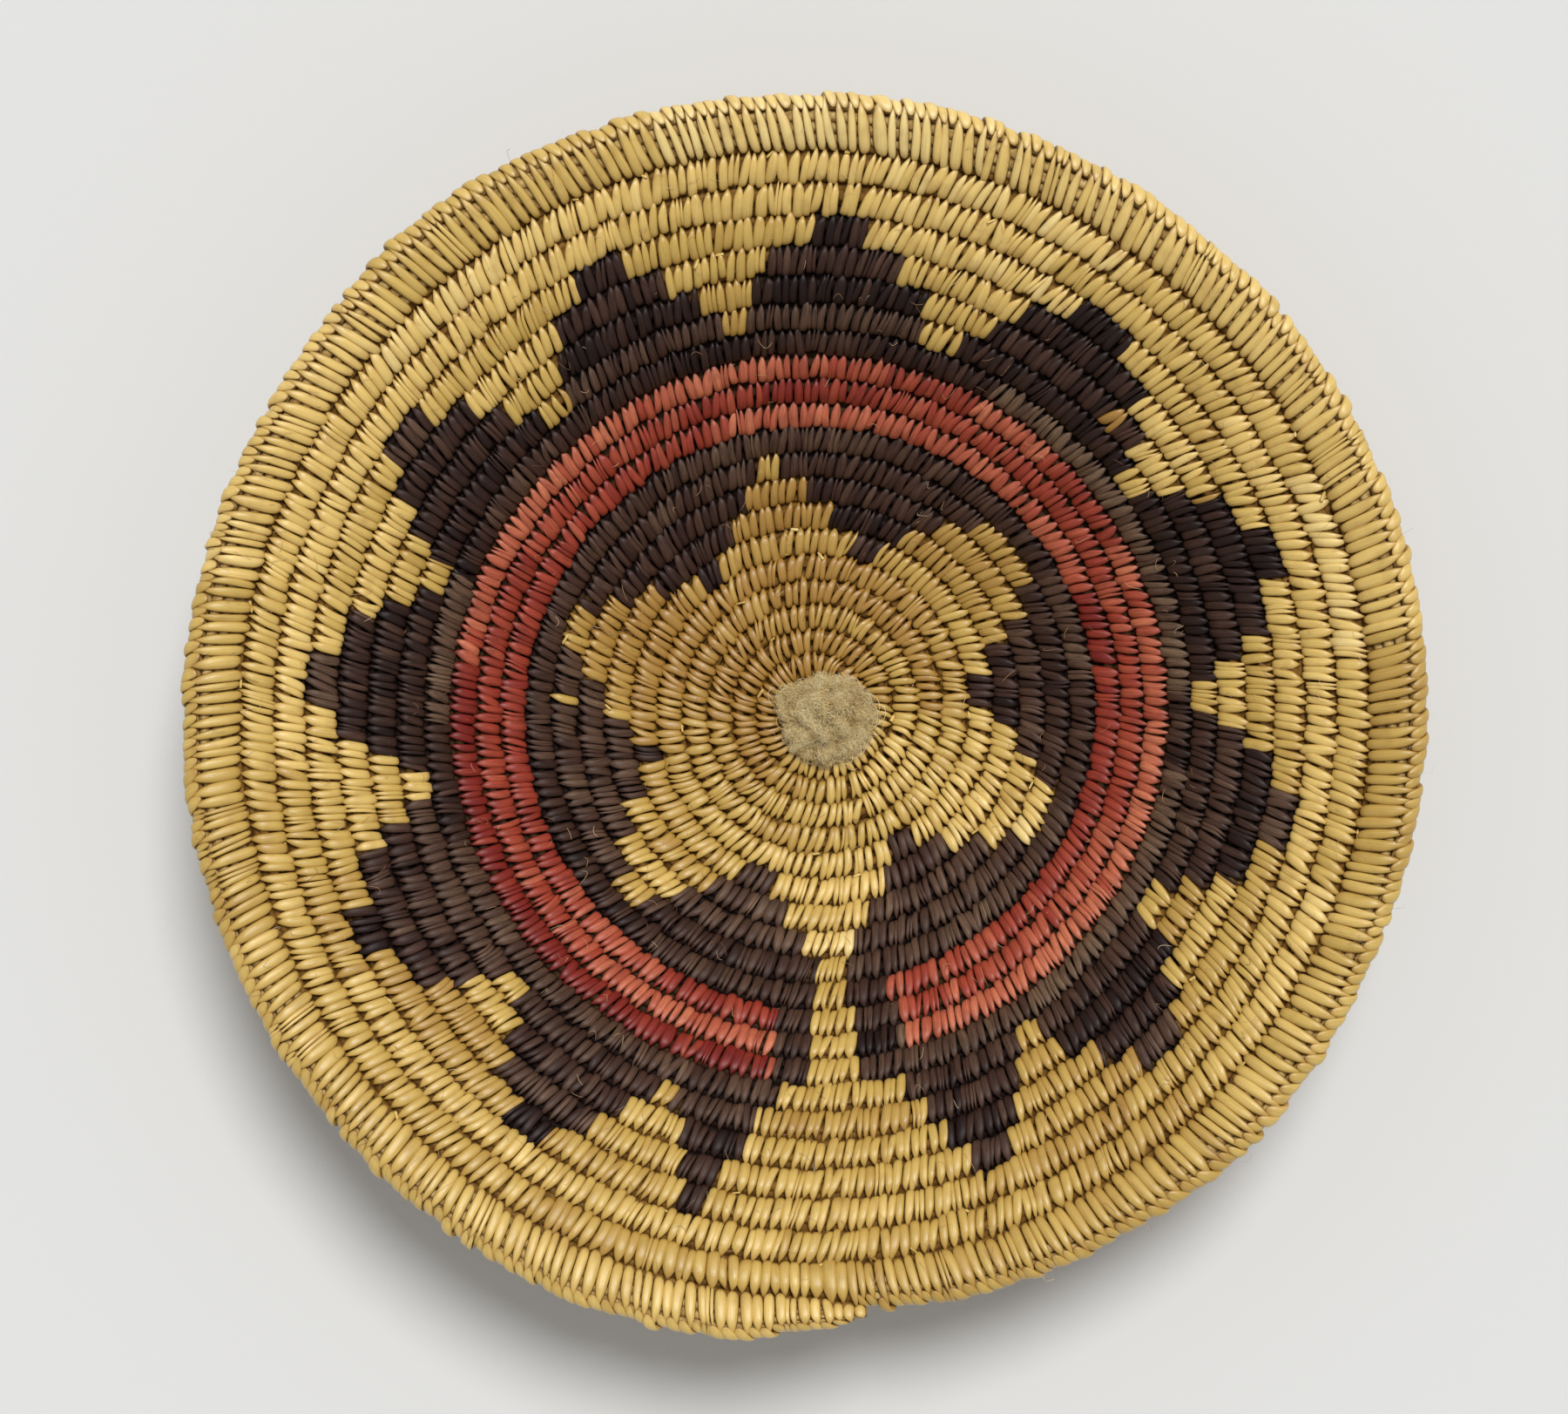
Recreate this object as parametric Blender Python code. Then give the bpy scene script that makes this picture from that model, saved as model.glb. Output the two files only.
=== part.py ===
"""A coiled wedding basket: a shallow bowl of one rod bundle, wound in a spiral and sewn over with splints.

The bowl opens upward and stands on its flat base. +Z is up, and the origin is on the ground under the middle of
the outline. The rim is uneven, so the axis of the coil stands a little to one side of it.
A place along the coil is given in turns: 0 is the inner start, and each whole turn starts at the seam.
"""

import math

import bmesh
import bpy
import numpy as np

# The coil. Distances are in metres, directions in degrees, counter-clockwise from +X seen from above.
ROUNDS = 22
BASE_ROUNDS = 6
SEAM = -90.0
COIL_AXIS = (0.0020, -0.001245, 0.0)
SPIRAL_START = 0.0042
ROUND_GAP = 0.0005
START_TURN = 0.05
SEAM_TURN = float(ROUNDS)
# Width of the coil along the wall, at turns from the start
# The last turn is the thick rim coil, which tapers out at its end.
WIDTHS = (
    (0.05, 0.0036),
    (0.5, 0.0063),
    (5.0, 0.0064),
    (7.0, 0.0073),
    (15.0, 0.0074),
    (17.0, 0.0078),
    (20.7, 0.0083),
    (21.0, 0.0085),
    (21.03, 0.0128),
    (21.1, 0.0138),
    (21.5, 0.0142),
    (21.93, 0.0134),
    (21.97, 0.0122),
    (21.986, 0.0108),
    (22.0, 0.0078),
    (22.02, 0.0024),
)
# Thickness of the coil across the wall, at turns from the start
THICKNESSES = (
    (0.05, 0.0038),
    (0.5, 0.0064),
    (6.0, 0.0064),
    (20.9, 0.0066),
    (21.1, 0.0084),
    (21.9, 0.0082),
    (22.0, 0.0064),
    (22.02, 0.0028),
)
# Hand-made swells of the rim coil: direction, reach to either side, and extra width
SWELLS = ((-42.0, 9.0, 0.0012), (22.0, 20.0, 0.0010), (126.0, 14.0, 0.0026), (182.0, 22.0, 0.0008))
# Slope of the wall in degrees, at distances along it from the axis
SLOPES = (
    (0.000, 0.0),
    (0.042, 0.0),
    (0.053, 18.0),
    (0.066, 28.0),
    (0.084, 31.0),
    (0.096, 37.0),
    (0.112, 37.0),
    (0.124, 29.0),
    (0.146, 24.0),
    (0.182, 19.0),
)

# The sewing and the rods under it
SPLINT = 0.0008
ROD_CLEARANCE = 0.0003
SEWING_GAP = 0.0003
ROD_START_TURN = 0.08
ROD_END_TURN = 22.004
TIP_START = 265.0
TIP_END = 276.5
# Share of the thickness that a wall round keeps at its sides, where the rounds are sewn to each other
SIDE_SHARE = 0.22

# How finely the coil is cut into straight runs
COARSE_TURNS = 6
COARSE_RUNS = 11
FINE_RUNS = 22
LEAST_RUN = 0.0005
LEAST_SEAM = 0.004
SAME_PLACE = 1e-6
ROUNDING = 1e-7
OUTER_SIDE, INNER_SIDE = 0, 3
PROFILE_STEP = 0.0005
SMOOTH_ANGLE = 60.0

# The pattern. Rounds are counted from the rim inward, so the rim is round 1 and the centre round 22.
# The pathway is the natural break that runs out through the dark and red rounds.
PATHWAY_OPENS = 269.2
PATHWAY_CLOSES = -83.4
BORDER_END = -74.8
RED_END = 263.0
OUTER_DARK_END = 265.1
# Outer dark steps: direction of the middle, and half of the arc in rounds 4, 5, 6 and 7
OUTER_STEPS = (
    (-67.3, (3.0, 4.5, 6.8, 9.4)),
    (-42.6, (2.8, 6.8, 10.2, 11.4)),
    (-12.4, (3.5, 8.8, 11.0, 13.3)),
    (19.9, (3.0, 9.2, 11.9, 14.6)),
    (53.0, (3.7, 9.3, 12.4, 15.4)),
    (86.5, (3.5, 8.5, 11.5, 12.6)),
    (115.6, (3.3, 7.4, 10.0, 12.6)),
    (145.0, (3.2, 7.5, 10.7, 12.5)),
    (175.0, (3.2, 7.9, 10.2, 13.0)),
    (205.9, (3.1, 9.0, 11.9, 13.9)),
    (235.3, (2.6, 6.5, 8.8, 11.7)),
    (256.3, (1.4, 2.5, 4.2, 5.9)),
)
OUTER_STEP_ROUNDS = (4, 5, 6, 7)
# Inner dark steps: direction of the middle, and half of the arc in rounds 13, 14, 15 and 16
INNER_STEPS = (
    (-56.7, (25.2, 18.5, 12.3, 4.7)),
    (7.4, (24.8, 18.0, 12.9, 6.3)),
    (74.5, (25.0, 18.4, 11.6, 4.8)),
    (129.6, (26.0, 21.2, 13.4, 4.0)),
    (193.4, (27.5, 20.4, 11.6, 3.8)),
    (249.0, (20.6, 16.6, 11.0, 5.4)),
)
INNER_STEP_ROUNDS = (13, 14, 15, 16)
OUTER_DARK_ROUND = 8
RED_ROUNDS = {9: "red_round_outer", 10: "red_round_middle", 11: "red_round_inner"}
INNER_DARK_ROUND = 12
PLAIN_ROUNDS = {2: "rim_seat_round", 3: "upper_round"}

# The tuft of loose fibre that plugs the centre
TUFT_MIDDLE = (0.0029, -0.0021)
TUFT_RADIUS = 0.0125
TUFT_HEIGHT = 0.0042
TUFT_STEM_RADIUS = 0.0019
TUFT_SEAT_GAP = 0.0003
TUFT_SIDES = 18
TUFT_RINGS = 5
TUFT_LUMPS = ((3, 0.09, 0.4), (5, 0.07, 1.9), (8, 0.05, 0.7))

# Colour, roughness and metallic value of each material
NATURAL = ("natural_splint", (0.60, 0.40, 0.12), 0.42, 0.0)
DARK = ("dark_splint", (0.055, 0.035, 0.030), 0.45, 0.0)
RED = ("red_splint", (0.42, 0.085, 0.055), 0.48, 0.0)
ROD = ("rod_wood", (0.52, 0.36, 0.16), 0.65, 0.0)
FIBRE = ("loose_fibre", (0.50, 0.45, 0.28), 0.9, 0.0)


def clear_scene():
    """Removes every object that the file starts with."""
    for old in list(bpy.data.objects):
        bpy.data.objects.remove(old, do_unlink=True)


def material(look):
    """Makes or finds the Principled material of one look."""
    name, colour, roughness, metallic = look
    if name in bpy.data.materials:
        return bpy.data.materials[name]
    made = bpy.data.materials.new(name)
    made.use_nodes = True
    shader = made.node_tree.nodes["Principled BSDF"]
    shader.inputs["Base Color"].default_value = (*colour, 1.0)
    shader.inputs["Roughness"].default_value = roughness
    shader.inputs["Metallic"].default_value = metallic
    made.diffuse_color = (*colour, 1.0)
    return made


def direction_of(turn):
    """Direction in degrees of a place on the coil."""
    return SEAM + 360.0 * (turn % 1.0)


def turn_of(round_number, direction):
    """Place on the coil of a direction in one round, where the seam starts the round."""
    return ROUNDS - round_number + (direction - SEAM) / 360.0


def along(points, place):
    """Reads a list of (place, value) pairs, straight between its pairs."""
    return float(np.interp(place, [pair[0] for pair in points], [pair[1] for pair in points]))


def coil_width(turn):
    """Width of the coil along the wall."""
    width = along(WIDTHS, turn)
    if SEAM_TURN - 1.0 < turn < SEAM_TURN:
        for middle, reach, extra in SWELLS:
            width += extra * math.exp(-(((direction_of(turn) - middle) / reach) ** 2))
    return width


def coil_thickness(turn):
    """Thickness of the coil across the wall."""
    return along(THICKNESSES, turn)


def wall_distance(turn):
    """Distance along the wall from the axis to the coil's middle. Each round lies on the one before."""
    whole = int(math.floor(turn + ROUNDING))
    part = max(turn - whole, 0.0)
    first_step = (coil_width(0.0) + coil_width(1.0)) / 2 + ROUND_GAP
    distance = SPIRAL_START + first_step * part
    for lap in range(whole):
        inner = coil_width(part + lap)
        outer = coil_width(part + lap + 1)
        distance += (inner + outer) / 2 + ROUND_GAP
    return distance


def wall_profile():
    """Radius, height and slope of the wall's middle line, at even steps along it."""
    distances = np.arange(0.0, SLOPES[-1][0] + PROFILE_STEP, PROFILE_STEP)
    slopes = np.radians([along(SLOPES, distance) for distance in distances])
    middles = (slopes[1:] + slopes[:-1]) / 2
    radii = np.concatenate(([0.0], np.cumsum(np.cos(middles) * PROFILE_STEP)))
    heights = np.concatenate(([0.0], np.cumsum(np.sin(middles) * PROFILE_STEP)))
    return distances, radii, heights + along(THICKNESSES, BASE_ROUNDS) / 2, slopes


PROFILE = wall_profile()


def station(turn):
    """Corners of the coil at one place: six of the sewing, three of its bore and three of the rods."""
    distance = wall_distance(turn)
    radius, height, slope = (float(np.interp(distance, PROFILE[0], row)) for row in PROFILE[1:])
    half_width = coil_width(turn) / 2
    half_thick = coil_thickness(turn) / 2
    bore = min(half_thick, half_width) - SPLINT
    rods = bore - 2 * ROD_CLEARANCE
    if turn < BASE_ROUNDS:
        # The base lies flat, so its section has a flat top and bottom
        section = [
            (half_width, 0.0),
            (half_width / 2, half_thick),
            (-half_width / 2, half_thick),
            (-half_width, 0.0),
            (-half_width / 2, -half_thick),
            (half_width / 2, -half_thick),
        ]
    else:
        # A wall round has a ridge inside and outside, and flat sides where the next rounds are sewn on
        side = 2 * half_thick * SIDE_SHARE
        section = [
            (half_width, -side),
            (half_width, side),
            (0.0, half_thick),
            (-half_width, side),
            (-half_width, -side),
            (0.0, -half_thick),
        ]
    for reach in (bore, rods):
        for corner in (90.0, 210.0, 330.0):
            section.append((reach * math.cos(math.radians(corner)), reach * math.sin(math.radians(corner))))
    heading = math.radians(direction_of(turn))
    corners = []
    for outward, upward in section:
        out = radius + outward * math.cos(slope) - upward * math.sin(slope)
        up = height + outward * math.sin(slope) + upward * math.cos(slope)
        corners.append((out * math.cos(heading), out * math.sin(heading), up))
    return np.array(corners)


def runs_per_turn(turn):
    """Straight runs in one round at this place."""
    return COARSE_RUNS if turn < COARSE_TURNS else FINE_RUNS


def between_stations(turn):
    """Corners at any place, read on the straight run that it lies on, so that neighbours stay apart."""
    runs = runs_per_turn(turn)
    before = math.floor(turn * runs + ROUNDING) / runs
    share = (turn - before) * runs
    if share < SAME_PLACE:
        return station(before)
    return station(before) * (1 - share) + station(before + 1 / runs) * share


def places_from(start, end):
    """The start, each station inside, and the end."""
    places = [start]
    for step in range(math.floor(start * FINE_RUNS), math.ceil(end * FINE_RUNS) + 1):
        place = step / FINE_RUNS
        on_station = place >= COARSE_TURNS or step * COARSE_RUNS % FINE_RUNS == 0
        if on_station and start + LEAST_RUN < place < end - LEAST_RUN:
            places.append(place)
    places.append(end)
    return places


def radius_at(turn):
    """Distance of the coil's middle from the axis."""
    return float(np.interp(wall_distance(turn), PROFILE[0], PROFILE[1]))


def add_loft(shape, rings, open_sides=()):
    """Joins rings of corners into side faces, but for open_sides, and returns the rings' vertices."""
    rows = [[shape.verts.new(corner) for corner in ring] for ring in rings]
    for run, (near, far) in enumerate(zip(rows, rows[1:])):
        for side in range(len(near)):
            after = (side + 1) % len(near)
            if (run, side) not in open_sides:
                shape.faces.new((near[side], near[after], far[after], far[side]))
    return rows


def cap_sleeve(shape, outer, inner):
    """Closes one end of a sleeve, between its six outer corners and the three of its bore."""
    for third in range(3):
        right, middle, left = 2 * third + 1, 2 * third + 2, (2 * third + 3) % 6
        shape.faces.new((outer[right], outer[middle % 6], inner[third]))
        shape.faces.new((outer[middle % 6], outer[left], inner[third]))
        shape.faces.new((outer[left], inner[(third + 1) % 3], inner[third]))


def add_place(places, new):
    """Adds a place to a sorted list, unless it has it."""
    if min(abs(new - old) for old in places) > SAME_PLACE:
        places.append(new)
        places.sort()


def missing_places(inner, outer, low, high):
    """Places on a stretch that only one of two neighbouring arcs has, in turns of the inner arc."""
    wanted = [low, high]
    wanted += [place for place in inner if low < place < high]
    wanted += [place - 1 for place in outer if low < place - 1 < high]
    lacking = []
    for place in wanted:
        for arc, shift in ((inner, 0), (outer, 1)):
            if min(abs(place + shift - old) for old in arc) > SAME_PLACE:
                lacking.append(place)
    return lacking


def sewn_arcs(arcs):
    """Finds the run where two neighbouring arcs of a node are sewn together, and gives both its places."""
    pairs = []
    for inner in range(len(arcs)):
        for outer in range(inner + 1, len(arcs)):
            low = max(arcs[inner][0], arcs[outer][0] - 1)
            high = min(arcs[inner][-1], arcs[outer][-1] - 1)
            if high - low > LEAST_RUN:
                pairs.append((high - low, inner, outer, low, high))
    seams = []
    for _, inner, outer, low, high in sorted(pairs):
        stops = places_from(low, high)
        runs = [run for run in zip(stops, stops[1:]) if run[1] - run[0] > min(LEAST_SEAM, (high - low) / 2)]
        near, far = arcs[inner], arcs[outer]
        run = min(runs, key=lambda run: (len(missing_places(near, far, *run)), run[0] - run[1]))
        seams.append((inner, outer, *run))
        for place in missing_places(near, far, *run):
            add_place(near, place)
            add_place(far, place + 1)
    for _ in seams:
        for inner, outer, low, high in seams:
            for place in missing_places(arcs[inner], arcs[outer], low, high):
                add_place(arcs[inner], place)
                add_place(arcs[outer], place + 1)
    return seams


def add_wrapping(shape, arcs):
    """Adds a node's sleeves, each a six-sided tube with a three-sided bore, sewn together side by side."""
    seams = sewn_arcs(arcs)
    open_sides = [set() for _ in arcs]
    joints = []
    for inner, outer, low, high in seams:
        near, far = low - SAME_PLACE, high + SAME_PLACE
        inner_runs = [place for place, turn in enumerate(arcs[inner]) if near < turn < far]
        outer_runs = [place for place, turn in enumerate(arcs[outer]) if near < turn - 1 < far]
        open_sides[inner].update((run, OUTER_SIDE) for run in inner_runs[:-1])
        open_sides[outer].update((run, INNER_SIDE) for run in outer_runs[:-1])
        joints.append((inner, outer, inner_runs, outer_runs))
    rows = []
    for places, opened in zip(arcs, open_sides):
        rings = [between_stations(place) for place in places]
        outside = add_loft(shape, [ring[0:6] for ring in rings], opened)
        inside = add_loft(shape, [ring[6:9] for ring in rings])
        cap_sleeve(shape, outside[0], inside[0])
        cap_sleeve(shape, outside[-1], inside[-1])
        rows.append(outside)
    for inner, outer, inner_runs, outer_runs in joints:
        near = [rows[inner][run] for run in inner_runs]
        far = [rows[outer][run] for run in outer_runs]
        low, high = OUTER_SIDE, OUTER_SIDE + 1
        far_high, far_low = INNER_SIDE, INNER_SIDE + 1
        for run in range(len(near) - 1):
            after = run + 1
            shape.faces.new((near[run][high], near[after][high], far[after][far_high], far[run][far_high]))
            shape.faces.new((near[run][low], far[run][far_low], far[after][far_low], near[after][low]))
        for end in (0, -1):
            shape.faces.new((near[end][low], near[end][high], far[end][far_high], far[end][far_low]))


def finish(name, shape, look):
    """Turns a bmesh into a named object with its material and smooth shading."""
    bmesh.ops.recalc_face_normals(shape, faces=shape.faces)
    bmesh.ops.triangulate(shape, faces=shape.faces)
    mesh = bpy.data.meshes.new(name)
    shape.to_mesh(mesh)
    shape.free()
    mesh.shade_smooth()
    mesh.set_sharp_from_angle(angle=math.radians(SMOOTH_ANGLE))
    mesh.materials.append(material(look))
    made = bpy.data.objects.new(name, mesh)
    bpy.context.scene.collection.objects.link(made)
    made.parent = bpy.data.objects["basket"]
    return made


def step_spans(steps, rounds, round_number):
    """Arcs that the steps of one band take in one round, as (start, end, step number)."""
    place = rounds.index(round_number)
    spans = []
    for count, (middle, halves) in enumerate(steps, 1):
        spans.append((middle - halves[place], middle + halves[place], count))
    return spans


def between_steps(spans, gap_name, step_name, digits):
    """Splits one round into its dark steps and the natural gaps between them."""
    first, last = SEAM, SEAM + 360.0
    count = len(spans)
    pieces = [(first, spans[0][0], f"{gap_name}_{count:0{digits}d}", NATURAL)]
    for place, (start, end, number) in enumerate(spans):
        pieces.append((start, end, f"{step_name}_{number:0{digits}d}", DARK))
        gap_end = spans[place + 1][0] if place + 1 < count else last
        pieces.append((end, gap_end, f"{gap_name}_{number:0{digits}d}", NATURAL))
    return pieces


def round_pieces(number):
    """Arcs of one round with their node and look, from the seam round to the seam."""
    first, last = SEAM, SEAM + 360.0
    if number in OUTER_STEP_ROUNDS:
        spans = step_spans(OUTER_STEPS, OUTER_STEP_ROUNDS, number)
        return between_steps(spans, "outer_gap", "outer_step", 2)
    if number in INNER_STEP_ROUNDS:
        spans = step_spans(INNER_STEPS, INNER_STEP_ROUNDS, number)
        pieces = between_steps(spans, "star_gap", "inner_step", 1)
        if number == INNER_STEP_ROUNDS[0]:
            start, end, _, look = pieces[-1]
            pieces[-1] = (start, end, "pathway_wrapping", look)
        return pieces
    if number == OUTER_DARK_ROUND:
        return [
            (first, PATHWAY_CLOSES, "pathway_wrapping", NATURAL),
            (PATHWAY_CLOSES, OUTER_DARK_END, "outer_dark_round", DARK),
            (OUTER_DARK_END, last, f"outer_gap_{len(OUTER_STEPS)}", NATURAL),
        ]
    if number in RED_ROUNDS:
        return [
            (first, PATHWAY_CLOSES, "pathway_wrapping", NATURAL),
            (PATHWAY_CLOSES, BORDER_END, "pathway_border_right", DARK),
            (BORDER_END, RED_END, RED_ROUNDS[number], RED),
            (RED_END, PATHWAY_OPENS, "pathway_border_left", DARK),
            (PATHWAY_OPENS, last, "pathway_wrapping", NATURAL),
        ]
    if number == INNER_DARK_ROUND:
        return [
            (first, PATHWAY_CLOSES, "pathway_wrapping", NATURAL),
            (PATHWAY_CLOSES, PATHWAY_OPENS, "inner_dark_round", DARK),
            (PATHWAY_OPENS, last, "pathway_wrapping", NATURAL),
        ]
    if number > ROUNDS - BASE_ROUNDS:
        part = "inner" if number > ROUNDS - BASE_ROUNDS // 2 else "outer"
        return [(first, last, f"base_wrapping_{part}", NATURAL)]
    if number == 1:
        return [(first, TIP_START, "rim_wrapping", NATURAL), (TIP_START, last, "rim_end_tip", NATURAL)]
    return [(first, last, PLAIN_ROUNDS[number], NATURAL)]


def wrapping_arcs():
    """Arcs of each node's sewing along the coil, as start and end in turns, with the node's look."""
    arcs = []
    for number in range(ROUNDS, 0, -1):
        for start, end, name, look in round_pieces(number):
            near, far = turn_of(number, start), turn_of(number, end)
            if arcs and arcs[-1][2] == name:
                arcs[-1][1] = far
            else:
                arcs.append([near, far, name, look])
    arcs[0][0] = START_TURN
    arcs[-1][1] = turn_of(1, TIP_END)
    nodes = {}
    for start, end, name, look in arcs:
        half_gap = SEWING_GAP / 2 / (2 * math.pi * radius_at((start + end) / 2))
        nodes.setdefault(name, ([], look))[0].append(places_from(start + half_gap, end - half_gap))
    return nodes


def make_wrappings():
    """Makes the sewing, grouped into nodes by colour and place in the pattern."""
    for name, (arcs, look) in wrapping_arcs().items():
        shape = bmesh.new()
        add_wrapping(shape, arcs)
        finish(name, shape, look)


def make_foundation():
    """Makes the rod bundle, one unbroken three-sided coil, and prints its least gap to itself."""
    rings = [between_stations(place)[9:12] for place in places_from(ROD_START_TURN, ROD_END_TURN)]
    shape = bmesh.new()
    rows = add_loft(shape, rings)
    shape.faces.new(rows[0])
    shape.faces.new(rows[-1])
    finish("rod_foundation", shape, ROD)
    gaps = []
    first = math.ceil((ROD_START_TURN + 1) * FINE_RUNS)
    for step in range(first, int(ROD_END_TURN * FINE_RUNS)):
        outer = station(step / FINE_RUNS)[9:12]
        inner = between_stations(step / FINE_RUNS - 1.0)[9:12]
        gaps.append(np.linalg.norm(outer[:, None] - inner[None, :], axis=2).min())
    print(f"rod_foundation: least gap to itself {1000 * min(gaps):.2f} mm")


def make_tuft():
    """Makes the tuft: a stem in the centre hole and a lumpy cap that lies on the first rounds."""
    seat = coil_thickness(BASE_ROUNDS) + TUFT_SEAT_GAP
    outline = [(TUFT_STEM_RADIUS, 2 * SPLINT, False), (TUFT_STEM_RADIUS, seat, False)]
    for ring in range(TUFT_RINGS):
        swing = math.radians(90.0 * ring / TUFT_RINGS)
        outline.append((TUFT_RADIUS * math.cos(swing), seat + TUFT_HEIGHT * math.sin(swing), True))
    rings = []
    for radius, height, on_cap in outline:
        ring = []
        for side in range(TUFT_SIDES):
            angle = 2 * math.pi * side / TUFT_SIDES
            lump = 1.0 + sum(size * math.sin(count * angle + phase) for count, size, phase in TUFT_LUMPS)
            out = radius * lump if on_cap else radius
            shift_x, shift_y = TUFT_MIDDLE if on_cap else (0.0, 0.0)
            ring.append((shift_x + out * math.cos(angle), shift_y + out * math.sin(angle), height))
        rings.append(ring)
    shape = bmesh.new()
    rows = add_loft(shape, rings)
    shape.faces.new(rows[0])
    top = shape.verts.new((*TUFT_MIDDLE, seat + TUFT_HEIGHT))
    for side in range(TUFT_SIDES):
        shape.faces.new((rows[-1][side], rows[-1][(side + 1) % TUFT_SIDES], top))
    finish("centre_tuft", shape, FIBRE)


def main():
    """Builds the basket under one empty on the axis of its coil."""
    clear_scene()
    root = bpy.data.objects.new("basket", None)
    root.location = COIL_AXIS
    bpy.context.scene.collection.objects.link(root)
    make_foundation()
    make_wrappings()
    make_tuft()


main()
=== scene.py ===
"""The looks of a coiled wedding basket: each splint stitch, the rods that it binds and the fibre tuft.

Everything is in metres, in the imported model's frame. A place along the coil is given in turns, as in the
part's source: 0 is the inner start, and each whole turn starts at the seam. Rounds are counted from the rim
inward.
"""

import math

import bpy
import numpy as np
from mathutils import Matrix, Vector


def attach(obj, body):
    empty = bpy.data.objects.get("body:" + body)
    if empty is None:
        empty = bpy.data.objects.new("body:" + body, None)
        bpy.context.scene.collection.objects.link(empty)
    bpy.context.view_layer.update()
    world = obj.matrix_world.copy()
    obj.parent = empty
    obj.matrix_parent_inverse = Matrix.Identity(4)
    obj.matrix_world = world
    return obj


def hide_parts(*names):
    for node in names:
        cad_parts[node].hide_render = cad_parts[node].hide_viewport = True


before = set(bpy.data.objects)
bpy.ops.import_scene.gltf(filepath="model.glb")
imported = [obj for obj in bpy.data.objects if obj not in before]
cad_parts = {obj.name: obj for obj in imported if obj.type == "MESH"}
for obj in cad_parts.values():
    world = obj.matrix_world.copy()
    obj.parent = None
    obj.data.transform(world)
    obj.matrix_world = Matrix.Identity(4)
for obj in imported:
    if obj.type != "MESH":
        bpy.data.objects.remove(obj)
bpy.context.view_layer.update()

# The coil, as in the part's source. Directions are in degrees, counter-clockwise from +X seen from above.
ROUNDS = 22
BASE_ROUNDS = 6
SEAM = -90.0
COIL_AXIS = (0.002, -0.001245)
SPIRAL_START = 0.0042
ROUND_GAP = 0.0005
START_TURN = 0.05
RIM_TURN = 21.0
TIP_START = 265.0
COIL_END = ROUNDS - 1 + (276.5 - SEAM) / 360.0
# Width and thickness of the coil, at turns from the start
WIDTHS = (
    (0.05, 0.0036), (0.5, 0.0063), (5.0, 0.0064), (7.0, 0.0073), (15.0, 0.0074), (17.0, 0.0078),
    (20.7, 0.0083), (21.0, 0.0085), (21.03, 0.0128), (21.1, 0.0138), (21.5, 0.0142), (21.93, 0.0134),
    (21.97, 0.0122), (21.986, 0.0108), (22.0, 0.0078), (22.02, 0.0024),
)
THICKNESSES = (
    (0.05, 0.0038), (0.5, 0.0064), (6.0, 0.0064), (20.9, 0.0066), (21.1, 0.0084), (21.9, 0.0082),
    (22.0, 0.0064), (22.02, 0.0028),
)
# Swells of the rim coil: direction, reach to either side, and extra width
SWELLS = ((-42.0, 9.0, 0.0012), (22.0, 20.0, 0.001), (126.0, 14.0, 0.0026), (182.0, 22.0, 0.0008))
# Slope of the wall in degrees, at distances along it from the axis
SLOPES = (
    (0.0, 0.0), (0.042, 0.0), (0.053, 18.0), (0.066, 28.0), (0.084, 31.0), (0.096, 37.0), (0.112, 37.0),
    (0.124, 29.0), (0.146, 24.0), (0.182, 19.0),
)
PROFILE_STEP = 0.0005
TABLE_STEPS = 360
# Turns by which the table passes the coil's end, the sewing and rods stop short of it, and rods start late
TABLE_PAST = 0.01
SEWING_SHORT = 0.0008
RODS_SHORT = 0.006
RODS_LATE = 0.03
# Slow waves along the coil: how many to a turn, their gain, and how far they lift the coil
WAVES = (7.0, 17.0, 41.0)
WAVE_GAIN = 1.4
WALL_WAVE = 0.0002
# Seeds of the waves of the stitches' leans, the wall, the rods' ways and their radii
LEAN_SEED = 3
WALL_SEED = 5
ROD_SEED = 40
SWELL_SEED = 60

# The pattern, as in the part's source
PATHWAY_OPENS = 269.2
PATHWAY_CLOSES = -83.4
BORDER_END = -74.8
RED_END = 263.0
OUTER_DARK_END = 265.1
# Dark steps: direction of the middle, and half of the arc and the tone in each round of the band. A tone goes
# from 0 for the deepest to 1 for the most faded, and isn't in the part's source.
OUTER_STEPS = (
    (-67.3, (3.0, 4.5, 6.8, 9.4), (0.45, 0.15, 0.4, 0.45)),
    (-42.6, (2.8, 6.8, 10.2, 11.4), (0.6, 0.28, 0.1, 0.4)),
    (-12.4, (3.5, 8.8, 11.0, 13.3), (0.6, 0.15, 0.45, 0.42)),
    (19.9, (3.0, 9.2, 11.9, 14.6), (0.12, 0.12, 0.2, 0.1)),
    (53.0, (3.7, 9.3, 12.4, 15.4), (0.02, 0.08, 0.32, 0.12)),
    (86.5, (3.5, 8.5, 11.5, 12.6), (0.14, 0.4, 0.05, 0.58)),
    (115.6, (3.3, 7.4, 10.0, 12.6), (0.2, 0.36, 0.1, 0.52)),
    (145.0, (3.2, 7.5, 10.7, 12.5), (0.56, 0.22, 0.28, 0.16)),
    (175.0, (3.2, 7.9, 10.2, 13.0), (0.68, 0.25, 0.18, 0.2)),
    (205.9, (3.1, 9.0, 11.9, 13.9), (0.04, 0.42, 0.38, 0.55)),
    (235.3, (2.6, 6.5, 8.8, 11.7), (0.04, 0.52, 0.38, 0.45)),
    (256.3, (1.4, 2.5, 4.2, 5.9), (0.3, 0.35, 0.18, 0.58)),
)
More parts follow.
